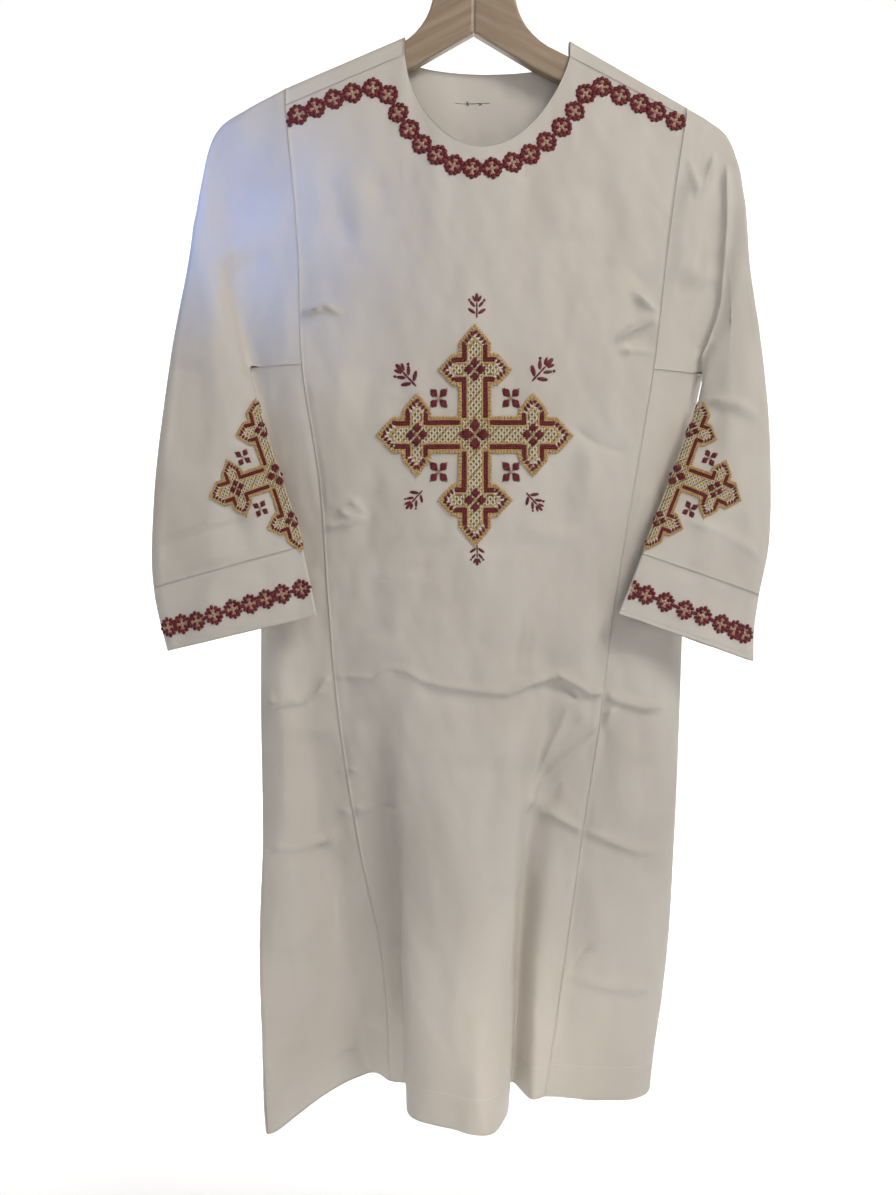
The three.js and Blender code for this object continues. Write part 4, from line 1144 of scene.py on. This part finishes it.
def along_line(line, pitch, closed=False, start=0.0):
    """Evenly spaced (u, v, angle) along a line of corners."""
    corners = np.array([*line, line[0]] if closed else line, float)
    steps = np.diff(corners, axis=0)
    lengths = np.hypot(*steps.T)
    ends = np.concatenate([[0], np.cumsum(lengths)])
    count = max(1, int(round((ends[-1] - start) / pitch)))
    places = []
    for k in range(count if closed else count + 1):
        at = min(start + k * (ends[-1] - start) / count, ends[-1] - 1e-6)
        i = int(np.searchsorted(ends, at, "right")) - 1
        u, v = corners[i] + steps[i] * (at - ends[i]) / lengths[i]
        places.append((u, v, math.atan2(steps[i][1], steps[i][0])))
    return places


# ---- embroidery charts

# A cross of four equal arms with three-pointed heads, charted from its middle, 104 to a tip. One
# half of one arm: out along its edge, from the middle square's corner to the tip.
SQUARE = 16.5
TIP = 104
HEAD = 62.5  # from the middle to the middle of an arm's head
HALF_ARM = (
    (16.5, 16.5), (16.5, 48.0), (23.0, 48.0), (38.5, 62.5),
    (23.5, 77.0), (16.0, 77.0), (16.0, 88.5), (0.0, 105.0),
)
QUARTERS = [quarter * math.pi / 2 for quarter in range(4)]


def turned(u, v, angle):
    return u * math.cos(angle) - v * math.sin(angle), u * math.sin(angle) + v * math.cos(angle)


def cross_outline():
    """All corners, anticlockwise."""
    arm = [*HALF_ARM, *[(-u, v) for u, v in HALF_ARM[-2:0:-1]]]
    return np.array([turned(u, v, angle) for angle in QUARTERS for u, v in arm])


def inset(corners, distance):
    """The outline drawn in by a distance, corner by corner."""
    ahead = unit(np.roll(corners, -1, 0) - corners)
    inward = np.stack([-ahead[:, 1], ahead[:, 0]], -1)
    middle = unit(inward + np.roll(inward, 1, 0))
    return corners + middle * (distance / np.maximum((middle * inward).sum(-1), 0.3))[:, None]


def depth_inside(corners, u, v):
    """How far inside the outline each place is; minus outside it."""
    best = np.full(u.shape, 1e9)
    inside = np.zeros(u.shape, bool)
    for (u0, v0), (u1, v1) in zip(corners, np.roll(corners, -1, 0)):
        du, dv = u1 - u0, v1 - v0
        t = np.clip(((u - u0) * du + (v - v0) * dv) / (du * du + dv * dv), 0, 1)
        best = np.minimum(best, np.hypot(u - u0 - t * du, v - v0 - t * dv))
        if v0 != v1:
            inside ^= ((v0 > v) != (v1 > v)) & (u < u0 + (v - v0) / (v1 - v0) * du)
    return np.where(inside, best, -best)


OUTLINE = cross_outline()


def in_square(u, v, size):
    return max(abs(u), abs(v)) < size


def on_slope(angle):
    return abs(math.sin(2 * angle)) > 0.5


def petals(u, v, reach, length, width, turn):
    """A flower of four leaf-shaped petals, each a fan of close stitches: (u, v, angle, length, width)."""
    made = []
    for petal in range(4):
        angle = turn + petal * 2 * math.pi / 4
        rows = max(3, int(round(width / 1.5)))
        for row in range(rows):
            off = ((row + 0.5) / rows - 0.5) * width
            full = 1 - abs(off / (width / 2)) ** 1.3 * 0.86
            pu = u + reach * math.cos(angle) - off * math.sin(angle)
            pv = v + reach * math.sin(angle) + off * math.cos(angle)
            made.append((pu, pv, angle + off * 0.02, length * full, width / rows * 1.35))
    return made


def edge_row(distance, pitch, lean, length, width, rise, start=0.0, keep=None):
    """Like stitches along the outline drawn in by a distance, where keep says yes."""
    row = along_line(inset(OUTLINE, distance), pitch, True, start)
    return [(u, v, angle + lean, length, width, rise) for u, v, angle in row if not keep or keep(u, v, angle)]


LATTICE = 3.0  # between the crossings of the filling


def cross_stitches():
    """Every stitch of the cross by thread: (u, v, angle, length, width, rise)."""
    gold = edge_row(0, 3.3, math.pi / 2, 3.9, 2.9, 2.2) + edge_row(2.1, 2.2, 0, 3.0, 1.6, 1.2)
    burgundy, cream, white = [], [], []
    for distance in (3.7, 5.9):
        burgundy += edge_row(
            distance, 2.4, 0, 3.6, 2.9, 2.1,
            keep=lambda u, v, angle: not in_square(u, v, SQUARE + 0.8) and not on_slope(angle))
    for u, v, angle in along_line(inset(OUTLINE, 4.0), 4.4, True):
        if on_slope(angle):
            for off in (-1.0, 1.0):
                spot = (u - off * math.sin(angle), v + off * math.cos(angle))
                burgundy.append((*spot, angle + 0.78, 4.2, 2.9, 2.0))
    for distance, start in ((5.4, 2.2), (7.0, 0.0)):
        white += edge_row(
            distance, 4.4, math.pi / 4, 3.6, 2.9, 1.7, start,
            keep=lambda u, v, angle: on_slope(angle) and not in_square(u, v, SQUARE))
    gold += edge_row(8.3, 1.9, 0, 2.7, 2.0, 1.7, keep=lambda u, v, angle: not in_square(u, v, SQUARE - 0.5))
    for angle in QUARTERS:
        gold += [(*turned(k * 2.0, SQUARE - 1.6, angle), angle, 2.7, 2.0, 1.7) for k in range(-7, 8)]
    reach = int(TIP / LATTICE) + 1
    numbers = np.arange(-reach, reach + 1)
    ii, jj = np.meshgrid(numbers, numbers)
    uu, vv = ii * LATTICE, jj * LATTICE
    filled = (depth_inside(OUTLINE, uu, vv) > 9.2) | (np.maximum(np.abs(uu), np.abs(vv)) < SQUARE - 2.6)
    for i, j, u, v in zip(ii[filled], jj[filled], uu[filled], vv[filled]):
        lean = 0.95 if (i + j) % 2 else -0.95
        (gold if (i - j) % 6 == 0 else cream).append((u, v, lean, 4.3, 2.0, 1.1 + 0.4 * ((i + j) % 2)))
    heads = [turned(0, HEAD, angle) for angle in QUARTERS]
    blossoms = petals(0, 0, 8.9, 16.4, 10.2, 0)
    for u, v in heads:
        blossoms += petals(u, v, 6.7, 11.8, 8.2, 0)
    burgundy += [(*petal, 3.0) for petal in blossoms]
    for u, v in (*heads, (0, 0)):
        gold += [(u, v, lean, 6.0, 1.3, 1.9) for lean in (math.pi / 4, -math.pi / 4)]
    return {"gold": gold, "burgundy": burgundy, "cream": cream, "white": white}


PAD_THICKNESS = 0.75
PAD_LIFT = 0.25
PAD_CELL = 2.1


def cross_pad(name, node, spot):
    """The thin pad of ground stitching under a cross, in small cells that follow the cloth."""
    reach = int((TIP + 2) / PAD_CELL) + 1
    numbers = {}
    kept = []

    def corner(i, j):
        if (i, j) not in numbers:
            found = spot(i * PAD_CELL, j * PAD_CELL)
            numbers[i, j] = None if found is None else len(kept)
            if found is not None:
                kept.append(found)
        return numbers[i, j]

    centre = (np.arange(-reach, reach) + 0.5) * PAD_CELL
    depth = depth_inside(OUTLINE, *np.meshgrid(centre, centre, indexing="ij"))
    cells = sorted((int(i), int(j)) for i, j in np.argwhere(depth > 0.2) - reach)
    whole = [
        (i, j) for i, j in cells
        if all(corner(i + a, j + b) is not None for a in (0, 1) for b in (0, 1))
    ]
    has_neighbour = set(whole)
    outer = [place + outward * (PAD_LIFT + PAD_THICKNESS) for place, outward in kept]
    inner = [place + outward * PAD_LIFT for place, outward in kept]
    under = len(outer)
    faces, shades = [], []
    for i, j in whole:
        a, b, c, d = (corner(i + p, j + q) for p, q in ((0, 0), (1, 0), (1, 1), (0, 1)))
        u, v = (i + 0.5) * PAD_CELL, (j + 0.5) * PAD_CELL
        lattice = in_square(u, v, SQUARE - 2) or depth[i + reach, j + reach] > 8.8
        faces += [(a, b, c, d), (under + a, under + d, under + c, under + b)]
        shades += [int(lattice), 0]
        for near, p, q in (((i, j - 1), a, b), ((i + 1, j), b, c), ((i, j + 1), c, d), ((i - 1, j), d, a)):
            if near not in has_neighbour:
                faces.append((p, under + p, under + q, q))
                shades.append(0)
    threads = [THREADS["ground"], THREADS["olive"]]
    fixed(mesh_object(name, outer + inner, faces, threads, shades=shades), node)


# ---- embroidery on the cloth

front_ground = Ground(front_panel)
back_ground = Ground(back_panel)


CHEST_CROSS = (-1, -518)
CHEST_ACROSS = 0.885  # the chart's own size across and up, on the chest and on a sleeve
SLEEVE_ACROSS, SLEEVE_UP = 0.635, 0.745
SLEEVE_CROSS_DOWN = 554.5
PAST_THE_FOLD = 3.1  # how far the middle lies in front of the fold
FOLD_RADIUS = 2.6


def chest_spot(u, v):
    return front_ground.front(CHEST_CROSS[0] + u * CHEST_ACROSS, CHEST_CROSS[1] + v)


def fold_spot(side, ground):
    """Places round the fold along a sleeve's underside: most of the pattern lies in front."""
    places = np.linspace(UNDERARM_SECTION + 0.5, CUFF_SECTION + 0.6, 500)
    fold = sleeve(side, np.zeros_like(places), places)
    gone = np.concatenate([[0], np.cumsum(np.linalg.norm(np.diff(fold, axis=0), axis=-1))])
    middle = np.interp(SLEEVE_CROSS_DOWN, -fold[:, 2], gone)
    quarter = FOLD_RADIUS * math.pi / 2

    def on_fold(at):
        return np.array([np.interp(at, gone, fold[:, k]) for k in range(3)])

    def spot(u, v):
        across = side * u * SLEEVE_ACROSS + PAST_THE_FOLD
        at = middle - v * SLEEVE_UP
        here = on_fold(at)
        ahead = on_fold(at + 2) - here
        outward = np.array([side * abs(ahead[2]), 0, side * ahead[0]])
        outward = outward / np.linalg.norm(outward)
        if abs(across) > quarter:
            target = here + outward * (abs(across) - quarter + FOLD_RADIUS)
            return (ground.front if across > 0 else ground.back)(target[0], target[2])
        turn = across / FOLD_RADIUS
        way = -outward * math.cos(turn) + np.array([0, -math.sin(turn), 0])
        return ground.nearest(here + outward * FOLD_RADIUS + way * (FOLD_RADIUS + 1.5))

    return spot


def stitch_all(name, groups, spot, scale, seed, lift=0.0, least=0.0):
    """A chart's stitches by thread, at a scale. On a pad they are lifted, and rise at least so far."""
    for number, (colour, chart) in enumerate(groups.items()):
        made = [
            lay(spot, u, v, angle, length * scale, width * scale, rise * max(scale, least), lift)
            for u, v, angle, length, width, rise in chart
        ]
        stitched(f"{name}_{colour}", made, colour, seed + number)


def corner_flowers():
    """The four small flowers between a cross's arms."""
    leaves, hearts = [], []
    for u in (-39, 39):
        for v in (-35.5, 35.5):
            leaves += [(*petal, 2.0) for petal in petals(u, v, 7.2, 13.0, 7.4, math.pi / 4)]
            hearts += [(u, v, lean, 5.0, 1.2, 1.5) for lean in (0, math.pi / 2)]
    return {"burgundy": leaves, "gold": hearts}


cross_chart = cross_stitches()
flower_chart = corner_flowers()
cross_pad("cross_chest_ground", "cross_chest", chest_spot)
stitch_all("cross_chest", cross_chart, chest_spot, 0.94, 40, 0.95, 0.8)
stitch_all("chest_flowers", flower_chart, chest_spot, 0.94, 50)
for label, side in SIDES.items():
    sleeve_and_cuff = (bpy.data.objects[name + label] for name in ("tunic_sleeve_", "tunic_cuff_"))
    around = fold_spot(side, Ground(*sleeve_and_cuff))
    cross_pad("cross_sleeve_ground_" + label, "cross_sleeve_" + label, around)
    stitch_all("cross_sleeve_" + label, cross_chart, around, 0.68, 60 + side, 0.95, 0.8)
    stitch_all("sleeve_flowers_" + label, flower_chart, around, 0.68, 70 + side)


def floret(spot, x, z, turn, size, pointed):
    """A rosette of round stitches: a dark ring, four pale dots and a golden heart."""
    dark, pale, gold = [], [], []

    def put(into, radius, angle, length, width, rise):
        place = (x + radius * size * math.cos(turn + angle), z + radius * size * math.sin(turn + angle))
        into.append(lay(spot, *place, turn + angle, length * size, width * size, rise))

    for k in range(12):
        angle = k * math.pi / 6
        on_axis = k % 3 == 0
        long = (6.0 if on_axis else 5.2) if pointed else (5.4 if on_axis else 5.0)
        put(dark, 8.4 if on_axis else 7.9, angle, long, 4.2 if pointed else 4.9, 2.0)
        if on_axis:
            put(pale, 4.9, angle, 3.9, 3.9, 1.7)
            put(dark, 4.4, angle + math.pi / 4, 5.0, 3.6, 1.6)
    put(pale, 0.0, 0.0, 4.4, 2.6, 1.6)
    put(gold, 0.0, math.pi / 2, 4.4, 1.7, 1.8)
    return dark, pale, gold


def floret_band(name, spot, places, size, pointed, seed):
    """A chain of rosettes with a small link between each two."""
    dark, pale, gold = [], [], []
    count = len(places)
    for k, (x, z) in enumerate(places):
        before, after = places[max(k - 1, 0)], places[min(k + 1, count - 1)]
        turn = math.atan2(after[1] - before[1], after[0] - before[0])
        for into, more in zip((dark, pale, gold), floret(spot, x, z, turn, size, pointed)):
            into += more
        if k + 1 < count:
            dark.append(lay(spot, (x + after[0]) / 2, (z + after[1]) / 2, turn, 4.0 * size, 4.0 * size, 1.7))
    for number, (shade, made, colour) in enumerate(
        (("dark", dark, "burgundy"), ("pale", pale, "peach"), ("gold", gold, "gold"))
    ):
        stitched(f"{name}_{shade}", made, colour, seed + number)


NECK_BAND = (
    (-187, -206), (-173, -201), (-156, -194), (-138, -186), (-120, -180), (-100, -175), (-85, -182),
    (-75, -201), (-64, -218), (-52, -233), (-37, -245), (-21, -255), (-3, -259), (16, -259),
    (36, -253), (53, -244), (69, -231), (84, -216), (97, -199), (108, -181), (124, -174),
    (142, -182), (161, -190), (177, -198), (196, -207),
)
BACK_BAND = (
    (-186, -208), (-150, -194), (-112, -178), (-88, -176), (-62, -186), (-30, -192), (12, -194), (54, -192),
    (86, -184), (108, -176), (132, -182), (170, -198), (206, -214),
)
floret_band("neck_florets", front_ground.front, NECK_BAND, 1.0, False, 80)
back_places = [(u, v) for u, v, _ in along_line(BACK_BAND, 18.8)]
floret_band("back_neck_florets", back_ground.back, back_places, 1.0, False, 84)
CUFF_BANDS = {
    "left": (
        (-295, -701.5), (-281.6, -698.3), (-266.3, -695.4), (-249.1, -689.7), (-231.4, -684),
        (-214.7, -679.2), (-199.5, -674.4), (-184.2, -669.7), (-166, -665),
    ),
    "right": (
        (148.2, -665.8), (161.5, -670.6), (179.7, -677.3), (198.8, -685), (216, -690.7),
        (234.6, -698.3), (248.4, -704), (258, -708),
    ),
}
cuff_ground = {}
for label, places in CUFF_BANDS.items():
    cuff_ground[label] = Ground(bpy.data.objects["tunic_cuff_" + label])
    floret_band("cuff_florets_" + label, cuff_ground[label].front, places, 0.9, True, 90)
    floret_band("cuff_back_florets_" + label, cuff_ground[label].back, places[::-1], 0.9, True, 93)


# ---- sprigs round the chest cross

# Stitches of one sprig, bottom to top: across, up, degrees, length, width.
SPRIG_STEM = ((0, -9, 90, 6.4, 1.6), (0, -4.6, 90, 6.4, 1.6), (0, 0.2, 90, 6.4, 1.6), (0, 7.4, 90, 8.4, 3.4))
SPRIG_SIDE = (
    (4.6, -5.4, 35, 8.8, 3.2), (3.9, 1.2, 50, 7.6, 2.8),
    (2.6, 6.2, 66, 6.6, 2.4), (6.9, 5.0, 0, 2.4, 2.4),
)
# Where each grows, how far it leans and its size. They all point away from the cross.
SPRIGS = (
    (1, -393, 0, 1.05), (1, -633, 180, 0.85), (-67, -460, 42, 1.25),
    (64, -455, -42, 1.3), (-59, -580, 138, 1.0), (56, -582, -138, 1.0),
)


def sprigs():
    made = []
    mirrored = [(-u, v, 180 - degrees, length, width) for u, v, degrees, length, width in SPRIG_SIDE]
    for x, z, lean, size in SPRIGS:
        turn = math.radians(lean)
        for u, v, degrees, length, width in (*SPRIG_STEM, *SPRIG_SIDE, *mirrored):
            right, up = turned(u, v, turn)
            angle = math.radians(degrees) + turn
            place = (x + size * right, z + size * up)
            made.append(lay(front_ground.front, *place, angle, length * size, width * size, 1.2))
    stitched("chest_sprigs", made, "burgundy", 100, 8, 5)


sprigs()


# ---- plain sewing


def running(name, ground, places, pitch=3.8, seed=110):
    """A row of small stitches along places near the cloth, snapped to its outside."""
    steps = np.diff(places, axis=0)
    gone = np.concatenate([[0], np.cumsum(np.linalg.norm(steps, axis=-1))])
    made = []
    for at in np.arange(0, gone[-1] - pitch, pitch):
        here, ahead = (
            np.array([np.interp(at + on, gone, places[:, k]) for k in range(3)]) for on in (0, 1.5))
        place, outward = ground.nearest(here)
        made.append((place + outward * 0.1, outward, unit(ahead - here), 2.6, 0.75, 0.5))
    stitched(name, made, "white", seed)


def outside(point, a, b, step_a, step_b, side=1):
    """Places well outside the cloth, from which the nearest spot is on its outer face."""
    return point(a, b) + side * 4 * normals_of(point, a, b, step_a, step_b)


gores = [piece for piece in bpy.data.objects if piece.name.startswith("tunic_gore")]
skirt = Ground(front_panel, back_panel, *gores)
hem_level = HEM - HEM_TURNING / (LEVEL_Z[HEM - 1] - HEM_Z)
round_hem = np.linspace(0, RING, 1500)
running("hem_stitches", skirt, outside(body, round_hem, np.full(1500, hem_level), STEP, STEP))
round_cuff = np.linspace(0.002, 0.998, 700)
cuff_hem = np.full(700, WRIST_SECTION - 0.16)
for label, side in SIDES.items():
    edge = outside(lambda ring, place: sleeve(side, ring, place), round_cuff, cuff_hem, 0.001, 0.003, side)
    running("cuff_stitches_" + label, cuff_ground[label], edge, 3.4, 112)

# A row of tacking left inside the back neck, crossed once, and a loose end below the front neckline.
tacks = [lay(back_ground.front, x, -178 + 0.03 * x, 0.0, 8.4, 0.6, 0.5) for x in (-16, -9, -2, 5, 12)]
tacks += [lay(back_ground.front, -7, -178, angle, 6.5, 0.7, 0.7) for angle in (2.1, 1.2)]
tacks += [lay(back_ground.front, 6, -179, angle, 4.0, 0.6, 0.6) for angle in (0.6, -0.5)]
tacks.append(lay(front_ground.front, 6, -258, 1.95, 7.5, 0.6, 0.6))
stitched("tacking", tacks, "dark", 114)


# ---- hanger

HOOK_WIRE = 3.8
HOOK_BEND = 21
HOOK_START, HOOK_TURN = -70, 272
HANGER_TILT = math.radians(0.6)
CROWN_TOP = -60


def hook_wire(name, sides=16):
    """The wire up from the crown, round to the right, over the top and down the left."""
    middle = HOOK_WIRE / 2 - HOOK_BEND
    bend = [math.radians(angle) for angle in np.linspace(HOOK_START, HOOK_START + HOOK_TURN, 80)]
    arc = [(HOOK_BEND * math.cos(angle), middle + HOOK_BEND * math.sin(angle)) for angle in bend]
    foot = np.array([(0, CROWN_TOP + up) for up in (0.3, 4, 8)])
    joint = [lerp(foot[-1], np.array(arc[0]), ease(t)) for t in (0.25, 0.5, 0.75)]
    route = np.array([*foot, *joint, *arc])
    radii = np.full(len(route), HOOK_WIRE / 2)
    radii[-1], radii[-2] = radii[-1] * 0.55, radii[-2] * 0.92
    points = []
    for (x, z), (way_x, way_z), radius in zip(route, unit(np.gradient(route, axis=0)), radii):
        for k in range(sides):
            turn = 2 * math.pi * k / sides
            out, back = radius * math.cos(turn), radius * math.sin(turn)
            points.append((x - way_z * out, back, z + way_x * out))
    points = np.array(points)
    tilted = points.copy()
    tilted[:, 0] = points[:, 0] * math.cos(HANGER_TILT) + points[:, 2] * math.sin(HANGER_TILT)
    tilted[:, 2] = points[:, 2] * math.cos(HANGER_TILT) - points[:, 0] * math.sin(HANGER_TILT)
    last = (len(route) - 1) * sides
    ends = [tuple(range(sides)), tuple(range(last, last + sides))[::-1]]
    return mesh_object(name, tilted, tube_faces(len(route), sides) + ends, [STEEL])


for label, finish in WOOD.items():
    arm_of_hanger = frame["nodes"]["hanger_" + label]
    arm_of_hanger.data.materials.clear()
    arm_of_hanger.data.materials.append(finish)
fixed(hook_wire("hanger_hook"), "hook")


# ---- camera, light and floor

SWEEP = ((0.0, -1.42), (2.6, -1.42), (3.4, -1.36), (4.0, -1.1), (4.3, -0.5), (4.4, 1.2), (4.4, 3.2))
EYE = (-0.0266, -1.1, -0.673)
LENS = 33.58
FILM = 36
# Each lamp: place, what it points at, size, power, colour, spread in degrees.
LAMPS = {
    "key": ((1.3, -1.75, 1.2), (0, 0, -0.6), 0.95, 30, (1.0, 0.91, 0.79), 180),
    "fill": ((0.9, -2.3, -0.9), (0, 0, -0.7), 1.2, 3.0, (1.0, 0.92, 0.82), 180),
    "low": ((0.06, -0.95, -1.3), (0.03, 0, -1.13), 0.25, 0.042, (1.0, 0.90, 0.76), 18),
    "window": ((-0.75, -0.45, -0.05), (-0.262, 0, -0.29), 0.12, 0.075, (0.02, 0.27, 1.0), 24),
    "backdrop": ((0.0, 1.3, 0.9), (0, 4.0, -1.0), 2.4, 180, (1, 1, 1), 180),
    "behind": ((0.9, 2.6, 1.1), (0, 0, -0.6), 0.5, 2, (1, 1, 1), 180),
}


def studio(turns=48):
    """A pale floor that runs up into far walls all round."""
    points = [(0, 0, SWEEP[0][1])]
    for radius, height in SWEEP[1:]:
        for i in range(turns):
            angle = 2 * math.pi * i / turns
            points.append((radius * math.cos(angle), radius * math.sin(angle), height))
    faces = [(0, 1 + i, 1 + (i + 1) % turns) for i in range(turns)]
    faces += tube_faces(len(SWEEP) - 1, turns, 1)
    white = Surface("studio_white", Base_Color=(0.86, 0.86, 0.86, 1), Roughness=0.9)
    mesh_object("studio_sweep", np.array(points) * 1000, faces, [white.material])


def lamp(name, place, target, size, power, colour, spread):
    light = bpy.data.lights.new(name, "AREA")
    light.shape = "DISK"
    light.size = size
    light.energy = power
    light.color = colour
    light.spread = math.radians(spread)
    holder = linked(bpy.data.objects.new(name, light))
    holder.location = place
    holder.rotation_euler = (Vector(target) - Vector(place)).to_track_quat("-Z", "Y").to_euler()


def camera():
    view = bpy.data.cameras.new("view")
    view.sensor_fit = "VERTICAL"
    view.sensor_width = view.sensor_height = FILM
    view.lens = LENS
    holder = linked(bpy.data.objects.new("view", view))
    holder.location = EYE
    holder.rotation_euler = (math.pi / 2, 0, 0)
    bpy.context.scene.camera = holder


studio()
for name, how in LAMPS.items():
    lamp(name, *how)
world = bpy.data.worlds.new("soft")
world.use_nodes = True
background = world.node_tree.nodes["Background"].inputs
background["Color"].default_value = (1.0, 0.97, 0.93, 1)
background["Strength"].default_value = 0.06
bpy.context.scene.view_settings.view_transform = "Standard"
bpy.context.scene.world = world
camera()
